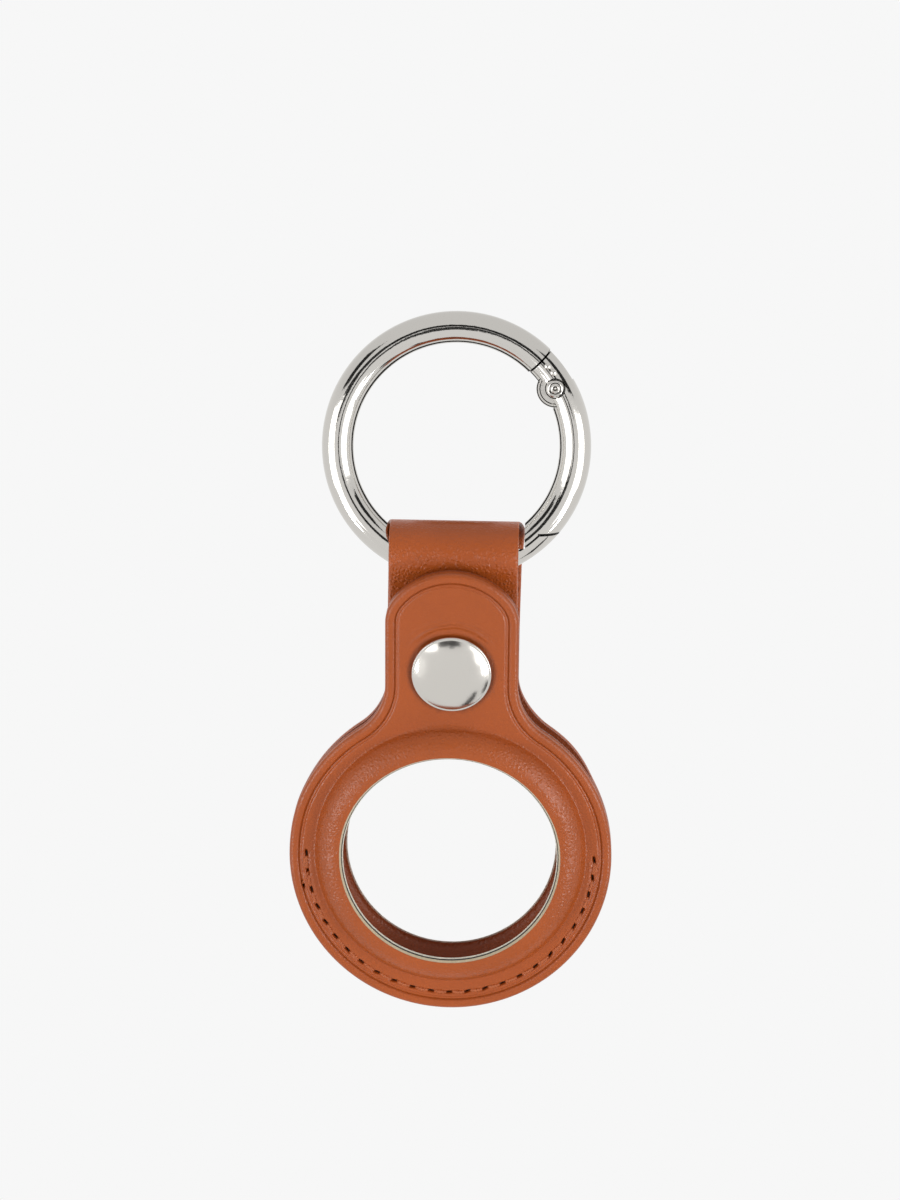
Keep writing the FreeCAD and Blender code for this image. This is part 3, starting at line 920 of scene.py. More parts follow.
@dataclass
class Strap:
    """The back leather's tongue: a rounded strip up the back, round the ring and down behind the flap."""

    sizes: StrapSizes
    case: CaseSizes
    leg_steps: int = 40
    knee_steps: int = 24
    tangent_steps: int = 12
    loop_steps: int = 72
    edge_steps: int = 9
    across_steps: int = 40
    sharp: float = 50.0

    def leg(self, front: bool) -> tuple[np.ndarray, np.ndarray]:
        """Path and outward ways of one leg, from its end up to the top of the loop.

        The leg runs straight up, turns outward on the knee's circle, goes on along the common tangent of
        knee and loop, and rounds the loop to its top.

        Args:
            front: The leg behind the flap, and otherwise the one on the back.

        Returns:
            Points and outward unit ways in the plane of Y and Z, each of shape (count, 2).
        """
        sizes = self.sizes
        foot = sizes.tail_end if front else self.case.neck_top
        knee = np.array([sizes.leg_offset + sizes.knee_radius, -sizes.knee_drop])
        tilt = math.acos((sizes.loop_radius + sizes.knee_radius) / np.hypot(*knee))
        angle = math.atan2(knee[1], knee[0]) + tilt
        straight = np.linspace(foot - sizes.loop_z, knee[1], self.leg_steps, endpoint=False)
        leg = np.stack([np.full_like(straight, sizes.leg_offset), straight], axis=-1)
        knee_way = circle_way(np.linspace(math.pi, angle + math.pi, self.knee_steps, endpoint=False))
        loop_way = circle_way(np.linspace(angle, math.pi / 2, self.loop_steps))
        share = np.linspace(0.0, 1.0, self.tangent_steps, endpoint=False)[:, None]
        end = knee - sizes.knee_radius * loop_way[0]
        begin = sizes.loop_radius * loop_way[0]
        path = np.vstack([leg, knee + sizes.knee_radius * knee_way, end + share * (begin - end),
                          sizes.loop_radius * loop_way])
        way = np.vstack([np.tile([1.0, 0.0], (self.leg_steps, 1)), -knee_way,
                         np.tile(loop_way[0], (self.tangent_steps, 1)), loop_way])
        side = np.array([-1.0 if front else 1.0, 1.0])
        return path * side + [sizes.loop_y, sizes.loop_z], way * side

    def section(self) -> np.ndarray:
        """Section of the strip: a half circle at either edge, and straight runs between them.

        Returns:
            Shares of the half width, of the edge's roundness and of the half thickness, of shape (3, count).
        """
        bend = np.linspace(-math.pi / 2, math.pi / 2, self.edge_steps)
        across = np.linspace(1.0, -1.0, self.across_steps + 2)[1:-1]
        edge = np.stack([np.ones_like(bend), np.cos(bend), np.sin(bend)])
        outside = np.stack([across, np.zeros_like(across), np.ones_like(across)])
        half = np.hstack([edge, outside])
        return np.hstack([half, -half])

    def build(self, finishes: Finishes) -> bpy.types.Object:
        """Carries the strip's section along the path, narrowing it round the tail's corners.

        The width is found by straight lines between its marks, less what a circle takes off at the tail.
        The thickness goes evenly from the panel's leather to the strap's, and thins by a bell over the wire.

        Args:
            finishes: Materials by slot.

        Returns:
            The strap's object.
        """
        sizes = self.sizes
        (back, back_way), (front, front_way) = self.leg(False), self.leg(True)
        path = np.vstack([back, front[-2::-1]])
        way = np.vstack([back_way, front_way[-2::-1]])
        length = np.append(0.0, np.cumsum(np.linalg.norm(np.diff(path, axis=0), axis=1)))
        crown, total = length[len(back) - 1], length[-1]
        widths = [self.case.tab_width, sizes.width_back, *[sizes.width_loop] * 2, sizes.width_front]
        inside = np.clip(sizes.tail_corner - (total - length), 0.0, sizes.tail_corner - sizes.tail_gap)
        half = np.interp(length / total, sizes.width_places, widths) / 2
        half = half - (sizes.tail_corner - np.sqrt(sizes.tail_corner ** 2 - inside ** 2))
        thick = np.interp(length, [0.0, sizes.start_length], [self.case.leather, sizes.thickness])
        thick = thick - sizes.crown_thinning * ridge(length, crown, sizes.crown_reach)
        core, bow, lift = self.section()
        x = core * (half[:, None] - sizes.edge_round) + bow * sizes.edge_round
        off = (lift + 1.0) / 2 * thick[:, None]
        yz = path[:, None, :] + off[..., None] * way[:, None, :]
        shape = Shape()
        legs = smooth_step(np.abs(length - crown), *sizes.grain_reach)[:, None]
        grain = sizes.crown_grain + (sizes.leg_grain - sizes.crown_grain) * legs
        # painted light: a dark value below 0 lightens the strap's colour by the share pale
        shape.add_tube(np.concatenate([x[..., None], yz], axis=-1), cut=0.0, dark=-sizes.pale, grain=grain)
        made = shape.to_object("strap_skin", self.case.place, self.sharp)
        dress(made, finishes[Slot.LEATHER])
        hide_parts("strap")
        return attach(made, Body.CASE.value)


@dataclass
class Sewing:
    """Rows of stitches, each a two-ply thread that arches from one needle hole to the next."""

    panel: Panel
    steps: int = 25
    around_steps: int = 12

    def build(self, finishes: Finishes) -> bpy.types.Object:
        """Carries a two-lobed, twisting section along the arch of every stitch at once.

        The arch is a power of a half sine wave. Each row has a back-tack beside its first and its last
        stitch, and the front row one stray stitch to the rim. The lobes follow twice the angle less the
        twist.

        Args:
            finishes: Materials by slot.

        Returns:
            The row's object.
        """
        stitch, sizes, face = self.panel.stitch, self.panel.sizes, self.panel.face
        holes = self.panel.hole_places()
        gap = stitch.hole_share * (holes[1] - holes[0])
        starts = np.concatenate([holes[:-1], holes[:1], holes[-2:-1]]) + gap
        ends = np.concatenate([holes[1:], holes[1:2], holes[-1:]]) - gap
        aside = np.append(np.zeros(stitch.count), [stitch.tack_aside] * 2)
        slope = np.zeros(len(starts))
        if face is Face.FRONT:
            starts = np.append(starts, holes[1])
            ends = np.append(ends, math.radians(stitch.stray_angle))
            aside = np.append(aside, 0.0)
            slope = np.append(slope, stitch.inset - stitch.stray_inset)
        starts, ends, aside, slope = (value[:, None] for value in (starts, ends, aside, slope))
        share = np.linspace(0.0, 1.0, self.steps)
        around = np.linspace(0.0, TURN, self.around_steps, endpoint=False)
        angle = starts + share * (ends - starts)
        arch = np.sin(share * math.pi) ** stitch.arch_power
        radius = sizes.disc_radius - stitch.inset + aside * arch + stitch.stagger * (2 * share - 1)
        radius = radius + slope * share
        rise = stitch.end_drop * (arch - 1.0) + stitch.uneven_rise * np.sin(stitch.rise_rate * starts)
        twist = share * TURN * stitch.ply_turns
        lobe = stitch.thread_radius * (1.0 + stitch.ply_depth * np.cos(2 * (around - twist[:, None])))
        reach = radius[..., None] + lobe * np.cos(around)
        x = reach * np.cos(angle)[..., None]
        y = face.value * (sizes.thickness - stitch.sink + rise[..., None] + lobe * np.sin(around))
        z = reach * np.sin(angle)[..., None]
        shape = Shape()
        for thread in np.stack([x, y, z], axis=-1):
            shape.add_tube(thread)
        name = face.name.lower()
        made = shape.to_object(f"{name}_stitches", sizes.place)
        dress(made, finishes[Slot.THREAD])
        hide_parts(f"{name}_thread")
        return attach(made, Body.CASE.value)


def plug(tree: Tree, value: object, socket: Socket) -> None:
    """Links an output to an input, or sets the input's value.

    Args:
        tree: Tree of a material or the world.
        value: An output socket or a plain value.
        socket: The input.
    """
    if isinstance(value, Socket):
        tree.links.new(value, socket)
    else:
        socket.default_value = value


def wire(tree: Tree, kind: str, settings: dict[str, object] | None = None,
         **inputs: object) -> bpy.types.Node:
    """Adds a node and sets or links its inputs by name.

    Args:
        tree: Tree of a material or the world.
        kind: Type name of the node.
        settings: The node's own properties.
        **inputs: Values or output sockets by input name, with _ for spaces.

    Returns:
        The new node.
    """
    node = tree.nodes.new(kind)
    for name, value in (settings or {}).items():
        setattr(node, name, value)
    for name, value in inputs.items():
        plug(tree, value, node.inputs[name.replace("_", " ")])
    return node


def object_place(tree: Tree) -> Socket:
    """Gives the place on the piece, in its object's own coordinates."""
    node = tree.nodes.get("Texture Coordinate") or tree.nodes.new("ShaderNodeTexCoord")
    return node.outputs["Object"]


def value_of(tree: Tree, key: str) -> Socket:
    """Reads one of the mesh's shading values by its name."""
    return wire(tree, "ShaderNodeAttribute", {"attribute_name": key}).outputs["Fac"]


def calc(tree: Tree, operation: str, first: object, second: object) -> Socket:
    """Works out one sum of two numbers.

    Args:
        tree: Tree of a material or the world.
        operation: The sum's name in the math node.
        first: First number, a value or a socket.
        second: Second number, a value or a socket.

    Returns:
        The result's socket.
    """
    node = wire(tree, "ShaderNodeMath", {"operation": operation})
    for value, socket in zip((first, second), node.inputs):
        plug(tree, value, socket)
    return node.outputs[0]


def near(tree: Tree, value: Socket, middle: float, reach: float) -> Socket:
    """Gives 1 where a number lies within a reach of a middle, and 0 elsewhere."""
    away = calc(tree, "ABSOLUTE", calc(tree, "SUBTRACT", value, middle), 0.0)
    return calc(tree, "LESS_THAN", away, reach)


def length_of(tree: Tree, first: Socket, second: Socket) -> Socket:
    """Works out the root of the sum of two squares."""
    squares = [calc(tree, "POWER", side, 2.0) for side in (first, second)]
    return calc(tree, "POWER", calc(tree, "ADD", *squares), 0.5)


def spread(tree: Tree, value: Socket, low: float, high: float, source: Span = (0.0, 1.0),
           **settings: object) -> Socket:
    """Maps a number from the source range to low and high; the settings are the node's own."""
    return wire(tree, "ShaderNodeMapRange", settings, Value=value, From_Min=source[0], From_Max=source[1],
                To_Min=low, To_Max=high).outputs["Result"]


def noise(tree: Tree, size: float, detail: float) -> Socket:
    """Cloudy noise on the piece's own coordinates, with its size in millimetres."""
    return wire(tree, "ShaderNodeTexNoise", Vector=object_place(tree), Scale=1.0 / (size * METRE),
                Detail=detail).outputs["Fac"]


def bump(tree: Tree, height: Socket, strength: object, depth: float, **under: Socket) -> Socket:
    """Tilts the shading by a pattern with a depth in millimetres, over the normal under it if given."""
    return wire(tree, "ShaderNodeBump", Height=height, Strength=strength, Distance=depth * METRE,
                **under).outputs["Normal"]


def mix_tints(tree: Tree, share: Socket, first: object, second: object) -> Socket:
    """Mixes two colours, each a value or a socket.

    Args:
        tree: The material's tree.
        share: Share of the second colour.
        first: First colour.
        second: Second colour.

    Returns:
        The mixed colour's socket.
    """
    node = wire(tree, "ShaderNodeMix", {"data_type": "RGBA", "clamp_factor": False}, Factor=share)
    for value, index in zip((first, second), COLOUR_INPUTS):
        plug(tree, value, node.inputs[index])
    return node.outputs[2]


def mix_shaders(tree: Tree, share: Socket, first: bpy.types.Node, second: bpy.types.Node,
                output: str) -> None:
    """Mixes two shaders into the surface of a material or the world.

    Args:
        tree: Tree of a material or the world.
        share: Share of the second shader.
        first: First shader.
        second: Second shader.
        output: Name of the output node.
    """
    mix = wire(tree, "ShaderNodeMixShader", Fac=share)
    plug(tree, first.outputs[0], mix.inputs[1])
    plug(tree, second.outputs[0], mix.inputs[2])
    plug(tree, mix.outputs[0], tree.nodes[output].inputs["Surface"])


def shader_of(name: str, **inputs: object) -> tuple[bpy.types.Material, Tree, bpy.types.Node]:
    """Starts a material with its principled shader.

    Args:
        name: Name of the material.
        **inputs: The shader's values by input name, with _ for spaces.

    Returns:
        The material, its node tree and its shader.
    """
    material = bpy.data.materials.new(name)
    material.use_nodes = True
    tree = material.node_tree
    shader = tree.nodes["Principled BSDF"]
    for key, value in inputs.items():
        plug(tree, value, shader.inputs[key.replace("_", " ")])
    return material, tree, shader


@dataclass(frozen=True)
class LeatherFinish:
    """Pebbled leather with a raw colour in its cut edges; the mesh's dark value paints shade above 0 and
    light below 0.
    """

    name: str
    tint: Tint
    cut_tint: Tint
    roughness: float
    specular: float = 0.42
    pebble: float = 0.50
    pebble_depth: float = 0.05
    pebble_edge: float = 0.5
    pebble_disorder: float = 0.9
    fine_grain: float = 0.16
    fine_share: float = 0.06
    smooth_bump: float = 0.48
    grain_bump: float = 1.0
    cloud: float = 9.0
    cloud_source: Span = (0.3, 0.7)
    cloud_levels: Span = (0.94, 1.05)
    # colour level of the painted shade at a dark value of 1
    painted_shade_level: float = 0.10
    fray: float = 0.3
    fray_levels: Span = (0.72, 1.12)
    wrinkle_centre: Place = (0.0, -11.7, -27.2)
    wrinkle_pitch: float = 0.75
    wrinkle_depth: float = 0.16
    wrinkle_distortion: float = 3.0
    wrinkle_fineness: float = 0.6

    def make(self) -> bpy.types.Material:
        """Builds the material from cell, ring and noise textures on the object's own coordinates.

        Returns:
            The material.
        """
        material, tree, shader = shader_of(self.name, Roughness=self.roughness,
                                           Specular_IOR_Level=self.specular)
        plug(tree, self.normal(tree), shader.inputs["Normal"])
        cloud = spread(tree, noise(tree, self.cloud, 3.0), *self.cloud_levels, source=self.cloud_source)
        # painted shade: the dark value darkens the colour, to the given level at 1, and a value below 0
        # lightens it as painted light
        shade = spread(tree, value_of(tree, "dark"), 1.0, self.painted_shade_level, clamp=False)
        skin = mix_tints(tree, calc(tree, "MULTIPLY", cloud, shade), BLACK, self.tint)
        fray = spread(tree, noise(tree, self.fray, 2.0), *self.fray_levels)
        raw = mix_tints(tree, fray, BLACK, self.cut_tint)
        plug(tree, mix_tints(tree, value_of(tree, "cut"), skin, raw), shader.inputs["Base Color"])
        return material

    def normal(self, tree: Tree) -> Socket:
        """Builds the pebbles, and over them the rings of wrinkles above the snap.

        Args:
            tree: The material's tree.

        Returns:
            The normal's socket.
        """
        cells = wire(tree, "ShaderNodeTexVoronoi", {"feature": "DISTANCE_TO_EDGE"}, Vector=object_place(tree),
                     Scale=1.0 / (self.pebble * METRE), Randomness=self.pebble_disorder)
        pebbles = spread(tree, cells.outputs["Distance"], 0.0, 1.0, source=(0.0, self.pebble_edge),
                         interpolation_type="SMOOTHSTEP")
        fine = noise(tree, self.fine_grain, 3.0)
        both = wire(tree, "ShaderNodeMix", Factor=self.fine_share, A=pebbles, B=fine)
        strength = spread(tree, value_of(tree, "grain"), self.smooth_bump, self.grain_bump, clamp=False)
        pebbled = bump(tree, both.outputs["Result"], strength, self.pebble_depth)
        about = wire(tree, "ShaderNodeMapping", Vector=object_place(tree),
                     Location=[-value * METRE for value in self.wrinkle_centre])
        folds = wire(tree, "ShaderNodeTexWave", {"wave_type": "RINGS", "rings_direction": "SPHERICAL"},
                     Vector=about.outputs[0], Scale=WAVE_PERIOD / (self.wrinkle_pitch * METRE),
                     Distortion=self.wrinkle_distortion, Detail=2.0, Detail_Scale=self.wrinkle_fineness)
        return bump(tree, folds.outputs["Fac"], value_of(tree, "wrinkle"), self.wrinkle_depth, Normal=pebbled)


@dataclass(frozen=True)
class PlainFinish:
    """One even colour, dull or metallic, with a faint waviness or a glow."""

    name: str
    tint: Tint
    roughness: float
    metallic: float = 0.0
    wave: float = 0.0
    wave_size: float = 2.5
    wave_depth: float = 0.2
    wave_detail: float = 2.0
    glow: float = 0.0

    def make(self) -> bpy.types.Material:
        """Builds the material.

        Returns:
            The material.
        """
        material, tree, shader = shader_of(self.name, Base_Color=self.tint, Roughness=self.roughness,
                                           Metallic=self.metallic, Emission_Strength=self.glow)
        if self.wave:
            waves = noise(tree, self.wave_size, self.wave_detail)
            plug(tree, bump(tree, waves, self.wave, self.wave_depth), shader.inputs["Normal"])
        return material


@dataclass(frozen=True)
class RingFinish(PlainFinish):
    """Polished wire with painted shade in the cut gaps of body and gate, and painted dark lines round rivet
    and knuckle.
    """

    # painted shade: the colour of the cut gaps and of the dark lines round rivet and knuckle
    cut_tint: Tint = (0.012, 0.011, 0.010, 1.0)
    sizes: RingSizes = RingSizes()

    def make(self) -> bpy.types.Material:
        """Builds the polished material and colours in its painted shade.

        Returns:
            The material.
        """
        material = super().make()
        tree = material.node_tree
        bands = [reduce(partial(calc, tree, "MULTIPLY"), tests) for tests in self.bands(tree)]
        dark = reduce(partial(calc, tree, "MAXIMUM"), bands)
        colour = mix_tints(tree, dark, self.tint, self.cut_tint)
        plug(tree, colour, tree.nodes["Principled BSDF"].inputs["Base Color"])
        return material

    def bands(self, tree: Tree) -> list[list[Socket]]:
        """Tests for the bands of painted shade, in the ring's own plane.

        Heel and lap are slanted planes and the split is a cylinder about the ring's centre, each with the
        thin skin of its cut. The lines are circles about the rivet, on the knuckle only inside the ring.

        Args:
            tree: The material's tree.

        Returns:
            The tests of each band, which all hold on it.
        """
        sizes = self.sizes
        plane = wire(tree, "ShaderNodeMapping", Vector=object_place(tree), Scale=(1 / METRE,) * 3,
                     Rotation=(math.radians(-sizes.lean), 0.0, 0.0))
        x, y, z = wire(tree, "ShaderNodeSeparateXYZ", Vector=plane.outputs[0]).outputs
        rise = calc(tree, "MULTIPLY", y, -math.tan(math.radians(sizes.cut_slant)))
        level = calc(tree, "ADD", z, rise)
        heel = math.radians(sizes.heel_angle)
        across = calc(tree, "ADD", calc(tree, "MULTIPLY", x, -math.sin(heel)),
                      calc(tree, "MULTIPLY", level, math.cos(heel)))
        reach = length_of(tree, x, level)
        right = calc(tree, "GREATER_THAN", x, 0.0)
        half, lap_half = sizes.gap / 2, sizes.gap * sizes.lap_gap_share / 2
        split = ((sizes.lap_level + sizes.nose_level) / 2, (sizes.lap_level - sizes.nose_level) / 2)
        bands = [
            [near(tree, across, half, half + sizes.cut_skin), right],
            [near(tree, level, sizes.lap_level - lap_half, lap_half + sizes.cut_skin),
             calc(tree, "GREATER_THAN", x, sizes.lap_start)],
            [near(tree, reach, sizes.radius + half, half + sizes.cut_skin), near(tree, level, *split), right],
        ]
        off = [calc(tree, "SUBTRACT", *pair) for pair in zip((x, z), sizes.rivet_place)]
        from_rivet = length_of(tree, *off)
        inside = calc(tree, "LESS_THAN", reach, sizes.knuckle_reach)
        bands += [[near(tree, from_rivet, line, sizes.line_half)] for line in sizes.rivet_lines]
        bands += [[near(tree, from_rivet, line, sizes.line_half), inside] for line in sizes.knuckle_lines]
        return bands


def make_finishes() -> Finishes:
    """Makes one material for each slot of the record.

    Returns:
        Materials by slot.
    """
    tan = (0.395, 0.080, 0.0115, 1.0)
    brown = (0.255, 0.056, 0.0170, 1.0)
    finishes = {
        Slot.LEATHER: LeatherFinish("leather", tan, (0.70, 0.59, 0.41, 1.0), 0.32),
        Slot.CORE: LeatherFinish("core", tan, (0.045, 0.043, 0.040, 1.0), 0.7),
        Slot.LINING: LeatherFinish("lining", brown, (0.84, 0.79, 0.67, 1.0), 0.36, specular=0.24,
                                   smooth_bump=1.0),
        Slot.THREAD: PlainFinish("thread", (0.44, 0.110, 0.030, 1.0), 0.6),
        Slot.NICKEL: RingFinish("polished_nickel", (0.63, 0.61, 0.575, 1.0), 0.08, 1.0, wave=0.13,
                                wave_detail=5.0),
        Slot.STEEL: PlainFinish("plated_steel", (0.60, 0.59, 0.57, 1.0), 0.22, 1.0),
        Slot.WIRE: PlainFinish("spring_wire", (0.45, 0.44, 0.43, 1.0), 0.3, 1.0),
    }
    return {slot: finish.make() for slot, finish in finishes.items()}


@dataclass
class Snap:
    """Shown buttons of the snap, turned about its axis: the cap on the flap and the post on the back."""

    sizes: SnapSizes
    case: CaseSizes
    finish: PlainFinish = PlainFinish("soft_nickel", (0.64, 0.615, 0.575, 1.0), 0.17, 1.0, wave=0.16)
    steps: int = 144
    sharp: float = 60.0

    def turned(self, name: str, button: Button, face: Face, height: float) -> bpy.types.Object:
        """Turns a button about the snap's axis on one face of the case, and leans the front one.

        Args:
            name: Name of the object.
            button: The button.
            face: Side on which it lies.
            height: Height of its axis above the disc's centre.

        Returns:
            The turned object.
        """
        lean = math.radians(self.case.flap_lean) if face is Face.FRONT else 0.0
        turned = turn_profile(button.profile(), (0.0, height), self.case.thickness, face, self.steps)
        shape = Shape()
        shape.add_tube(*(turn_about_x(points, lean, self.case.fold_axis_y, 0.0) for points in turned))
        return shape.to_object(name, self.case.place, self.sharp)

    def build(self) -> list[bpy.types.Object]:
        """Builds cap and post over their CAD nodes' shown faces.

        Returns:
            Both objects.
        """
        cap = self.turned("snap_cap_shell", self.sizes.cap, Face.FRONT, self.sizes.height)
        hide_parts("snap_cap")
        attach(cap, Body.FLAP.value)
        post = self.turned("snap_post_shell", self.sizes.post, Face.BACK, self.sizes.back_height)
        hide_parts("snap_post")
        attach(post, Body.CASE.value)
        nickel = self.finish.make()
        for shell in (cap, post):
            dress(shell, nickel)
        return [cap, post]


@dataclass
class Ring:
    """The ring's rolled rivet and stake marks, and the metal pieces that keep their CAD meshes."""

    nodes: dict[str, bpy.types.Object]
    sizes: RingSizes = RingSizes()
    slots: dict[str, Slot] = field(default_factory=lambda: {
        "ring_body": Slot.NICKEL, "ring_gate": Slot.NICKEL,
        "gate_plunger": Slot.STEEL, "gate_spring": Slot.WIRE,
        "snap_socket": Slot.STEEL, "snap_stud": Slot.STEEL, "snap_spring": Slot.WIRE})
    steps: int = 64
    rivet_steps: int = 40
    dimple_steps: int = 14
    sharp: float = 70.0

    def dress(self, finishes: Finishes) -> list[bpy.types.Object]:
        """Puts the finishes on the CAD nodes.

        Args:
            finishes: Materials by slot.

        Returns:
            The nodes' objects.
        """
        for name, slot in self.slots.items():
            piece = self.nodes[name]
            for place in piece.material_slots:
                place.link = "OBJECT"
                place.material = finishes[slot]
        return [self.nodes[name] for name in self.slots]

    def turned(self, name: str, places: list[Span], profile: np.ndarray, base: float,
               faces: list[Face]) -> bpy.types.Object:
        """Turns one profile at several places of the ring's plane and leans the piece with the ring.

        Args:
            name: Name of the object.
            places: X and Z of the axes, before the ring leans.
            profile: Radii and heights from pole to pole.
            base: Distance of height 0 from the ring's plane.
            faces: Sides of the ring that get the piece.

        Returns:
            The turned object.
        """
        shape = Shape()
        lean = math.radians(self.sizes.lean)
        for place in places:
            for face in faces:
                turned = turn_profile(profile, place, base, face, self.steps)
                shape.add_tube(*(turn_about_x(points, lean, 0.0, 0.0) for points in turned))
        return shape.to_object(name, sharp=self.sharp)

    def rivet_profile(self) -> np.ndarray:
        """Section of the rivet's head: a flat ellipse with rolled rings, as a cosine of the radius.

        Returns:
            Radii and heights from the crown to the middle of the root.
        """
        sizes = self.sizes
        share = np.linspace(0.0, 1.0, self.rivet_steps)
        hollow = sizes.rivet_roll_depth * (0.5 - 0.5 * np.cos(TURN * sizes.rivet_rolls * share))
        height = sizes.rivet_height * np.sqrt(1.0 + sizes.rivet_edge - share ** 2) * (1.0 - hollow)
        root = [[sizes.rivet_radius * sizes.rivet_root_share, -sizes.rivet_root], [0.0, -sizes.rivet_root]]
        return np.vstack([np.stack([sizes.rivet_radius * share, height], axis=-1), root])

    def dimple_profile(self) -> np.ndarray:
        """Section of a stake mark: a quarter of an ellipse on a short root.

        Returns:
            Radii and heights from the crown to the middle of the root.
        """
        sizes = self.sizes
        bend = np.linspace(0.0, math.pi / 2, self.dimple_steps)
        crown = np.stack([sizes.dimple_radius * np.sin(bend), sizes.dimple_height * np.cos(bend)], axis=-1)
        root = [[sizes.dimple_radius * sizes.dimple_root_share, -sizes.dimple_root],
                [0.0, -sizes.dimple_root]]
        return np.vstack([crown, root])

    def build(self, finishes: Finishes) -> list[bpy.types.Object]:
        """Builds the rivet's rolled heads and the two stake marks on the gate's cheek.

        Args:
            finishes: Materials by slot.

        Returns:
            Both objects.
        """
        sizes = self.sizes
        head = self.rivet_profile()
        rivet = self.turned("rivet_heads", [sizes.rivet_place], head, sizes.rivet_seat, list(Face))
        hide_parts("gate_rivet")
        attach(rivet, Body.RING.value)
        places = [sizes.in_plane(radius, angle) for radius, angle in sizes.dimple_places]
        seat = sizes.wire_radius * sizes.dimple_seat_share
        marks = self.turned("stake_marks", places, self.dimple_profile(), seat, [Face.FRONT])
        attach(marks, Body.GATE.value)
        for piece in (rivet, marks):
            dress(piece, finishes[Slot.NICKEL])
        return [rivet, marks]


@dataclass(frozen=True)
class Lamp:
    """A soft box, unseen by the camera: its place and sizes in metres, and its power in watts."""

    name: str
    place: Place
    width: float
    height: float
    power: float
    mirrored: bool = True

    def hang(self, aim: Place) -> None:
        """Hangs the box and turns it to face a point.

        Args:
            aim: The point, in metres.
        """
        data = bpy.data.lights.new(self.name, "AREA")
        data.shape = "RECTANGLE"
        data.size = self.width
        data.size_y = self.height
        data.energy = self.power
        made = link_object(self.name, data)
        x, y, z = np.array(aim) - np.array(self.place)
        made.location = self.place
        made.rotation_euler = (math.atan2(math.hypot(x, y), -z), 0.0, math.atan2(-x, y))
        made.visible_glossy = self.mirrored
        made.visible_camera = False


@dataclass(frozen=True)
class Card:
    """A flat stage piece: its middle, and half its width and height as vectors, in metres."""

    name: str
    centre: Place
    right: Place
    up: Place

    def make(self, material: bpy.types.Material) -> bpy.types.Object:
        """Makes the plane from its four corners.

        Args:
            material: Its finish.

        Returns:
            The plane.
        """
        middle, across, along = np.array(self.centre), np.array(self.right), np.array(self.up)
        corners = [middle + x * across + y * along for x, y in ((-1, -1), (1, -1), (1, 1), (-1, 1))]
        mesh = bpy.data.meshes.new(self.name)
        mesh.from_pydata([tuple(corner) for corner in corners], [], [(0, 1, 2, 3)])
        mesh.materials.append(material)
        made = link_object(self.name, mesh)
        return made


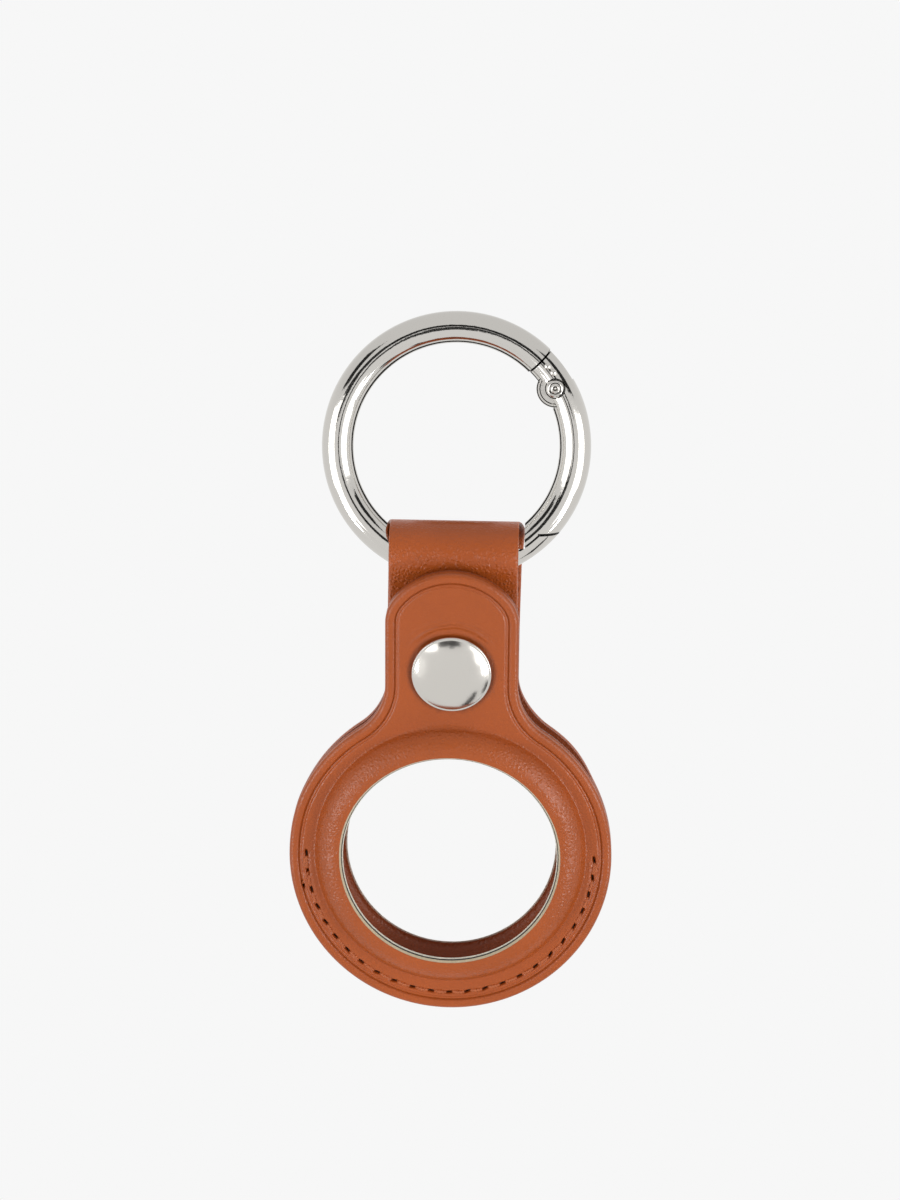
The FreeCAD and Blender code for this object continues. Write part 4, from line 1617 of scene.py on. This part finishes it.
@dataclass
class Studio:
    """Camera, pale surroundings, soft lights, and the cards and flags that only reflections show."""

    camera_place: Place = (13.27, -439.95, 94.33)
    elevation: float = 14.5
    azimuth: float = 1.8
    roll: float = 0.7
    lens: float = 110.2
    sensor: float = 36.0
    clip: Span = (0.01, 20.0)
    pale: Tint = (0.93, 0.93, 0.93, 1.0)
    floor_tint: Tint = (0.65, 0.65, 0.65, 1.0)
    floor_roughness: float = 0.9
    room_light: float = 0.32
    mirrored_sky: float = 0.90
    sky_rise: Span = (0.18, 0.55)
    aim: Place = (0.0, 0.0, -0.03)
    floor: Card = Card("floor", (0.0, 0.0, -0.145), (4.0, 0.0, 0.0), (0.0, 4.0, 0.0))
    lamps: tuple[Lamp, ...] = (
        Lamp("left_box", (-0.42, -0.42, -0.02), 0.48, 0.50, 1.36),
        Lamp("left_spot", (-0.215, -0.180, -0.105), 0.06, 0.07, 0.15),
        Lamp("right_box", (0.46, -0.40, -0.02), 0.46, 0.50, 1.62),
        Lamp("right_spot", (0.225, -0.185, -0.110), 0.06, 0.07, 0.18),
        Lamp("top_box", (0.0, -0.05, 0.60), 0.50, 0.40, 0.40, mirrored=False),
        Lamp("back_box", (0.0, 0.60, 0.24), 0.60, 0.24, 2.0, mirrored=False))
    dark: PlainFinish = PlainFinish("dark_card", (0.015, 0.015, 0.015, 1.0), 0.9)
    cards: tuple[Card, ...] = (
        Card("card_behind_camera", (-0.135, -0.60, 0.235), (0.265, 0.0, 0.0), (0.0, 0.0, 0.075)),
        Card("card_near", (-0.002, -0.10, 0.0155), (0.005, 0.0, 0.0), (0.0, 0.0, 0.0195)),
        Card("card_high_left", (-0.373, -0.291, 0.369), (0.074, -0.095, 0.0), (0.0, 0.0, 0.12)),
        Card("card_high_right", (0.373, -0.291, 0.369), (0.074, 0.095, 0.0), (0.0, 0.0, 0.12)),
        Card("card_in_ring", (0.0, 0.0088, -0.0019), (0.005, 0.0, 0.0), (0.0, 0.0010, 0.0049)),
        Card("card_floor_right", (0.123, -0.060, -0.143), (0.030, -0.025, 0.0), (0.010, 0.012, 0.0)),
        Card("card_low", (0.043, -0.046, -0.143), (0.022, -0.030, 0.0), (0.006, 0.007, 0.0)))
    bright: PlainFinish = PlainFinish("grey_flag", BLACK, 1.0, glow=0.90)
    flags: tuple[Card, ...] = (
        Card("flag_left", (-0.0290, -0.0432, -0.0348), (0.0112, -0.0094, 0.0), (0.0, 0.0, 0.0175)),
        Card("flag_right", (0.0204, -0.0496, -0.0309), (0.0063, 0.0032, 0.0), (0.0, 0.0, 0.0165)))

    def camera(self) -> None:
        """Places the camera that the photograph was solved for."""
        data = bpy.data.cameras.new("camera")
        data.sensor_fit = "AUTO"
        data.sensor_width = self.sensor
        data.lens = self.lens
        data.clip_start, data.clip_end = self.clip
        made = link_object("camera", data)
        made.location = [value * METRE for value in self.camera_place]
        level = Euler((math.radians(90.0 - self.elevation), 0.0, math.radians(self.azimuth))).to_matrix()
        made.rotation_euler = (level @ Matrix.Rotation(math.radians(self.roll), 3, "Z")).to_euler()
        bpy.context.scene.camera = made

    @staticmethod
    def seen(tree: Tree) -> Socket:
        """Tells rays that look from rays that light: camera, mirror and glass rays give 1.

        Args:
            tree: Tree of a material or the world.

        Returns:
            The socket with 0 or 1.
        """
        path = tree.nodes.new("ShaderNodeLightPath").outputs
        looks = calc(tree, "MAXIMUM", path["Is Camera Ray"], path["Is Glossy Ray"])
        return calc(tree, "MAXIMUM", looks, path["Is Transmission Ray"])

    def pale_finish(self) -> bpy.types.Material:
        """Floor that looks evenly pale to the camera and in the metal, and takes soft light otherwise.

        Returns:
            The material.
        """
        material, tree, shader = shader_of("pale_floor", Base_Color=self.floor_tint,
                                           Roughness=self.floor_roughness)
        glow = wire(tree, "ShaderNodeEmission", Color=self.pale, Strength=1.0)
        mix_shaders(tree, self.seen(tree), shader, glow, "Material Output")
        return material

    def world(self) -> None:
        """Makes surroundings that are pale to the eye, dimmer high up in the metal, and dim as light."""
        world = bpy.data.worlds.new("world")
        world.use_nodes = True
        tree = world.node_tree
        dim = tree.nodes["Background"]
        dim.inputs["Color"].default_value = (1.0, 1.0, 1.0, 1.0)
        dim.inputs["Strength"].default_value = self.room_light
        way = tree.nodes.new("ShaderNodeTexCoord").outputs["Generated"]
        up = wire(tree, "ShaderNodeSeparateXYZ", Vector=way).outputs["Z"]
        sky = spread(tree, up, 1.0, self.mirrored_sky, source=self.sky_rise)
        glossy = tree.nodes.new("ShaderNodeLightPath").outputs["Is Glossy Ray"]
        level = wire(tree, "ShaderNodeMix", Factor=glossy, A=1.0, B=sky)
        pale = wire(tree, "ShaderNodeBackground", Color=self.pale, Strength=level.outputs["Result"])
        mix_shaders(tree, self.seen(tree), dim, pale, "World Output")
        bpy.context.scene.world = world

    def build(self) -> None:
        """Sets up the whole studio."""
        self.camera()
        self.world()
        self.floor.make(self.pale_finish())
        for lamp in self.lamps:
            lamp.hang(self.aim)
        for cards, finish in ((self.cards, self.dark.make()), (self.flags, self.bright.make())):
            for card in cards:
                made = card.make(finish)
                made.visible_camera = False
                made.visible_diffuse = False
                made.visible_shadow = False


def main() -> None:
    """Loads the frame, builds each sub-assembly in order and reports its pieces."""
    logging.basicConfig(level=logging.INFO, format="%(name)s: %(message)s")
    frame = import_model()
    bpy.context.scene.view_settings.view_transform = "Standard"
    finishes = make_finishes()
    case, stitch, snap = CaseSizes(), StitchSizes(), SnapSizes()
    pieces: list[bpy.types.Object] = []
    for face in Face:
        panel = Panel(face, case, stitch, snap)
        pieces += [*panel.build(finishes), Sewing(panel).build(finishes)]
    pieces.append(Strap(StrapSizes(), case).build(finishes))
    pieces += Snap(snap, case).build()
    ring = Ring(frame["nodes"])
    pieces += ring.dress(finishes) + ring.build(finishes)
    for piece in pieces:
        log.info("%s: %d faces", piece.name, len(piece.data.polygons))
    Studio().build()


if __name__ == "__main__":
    main()
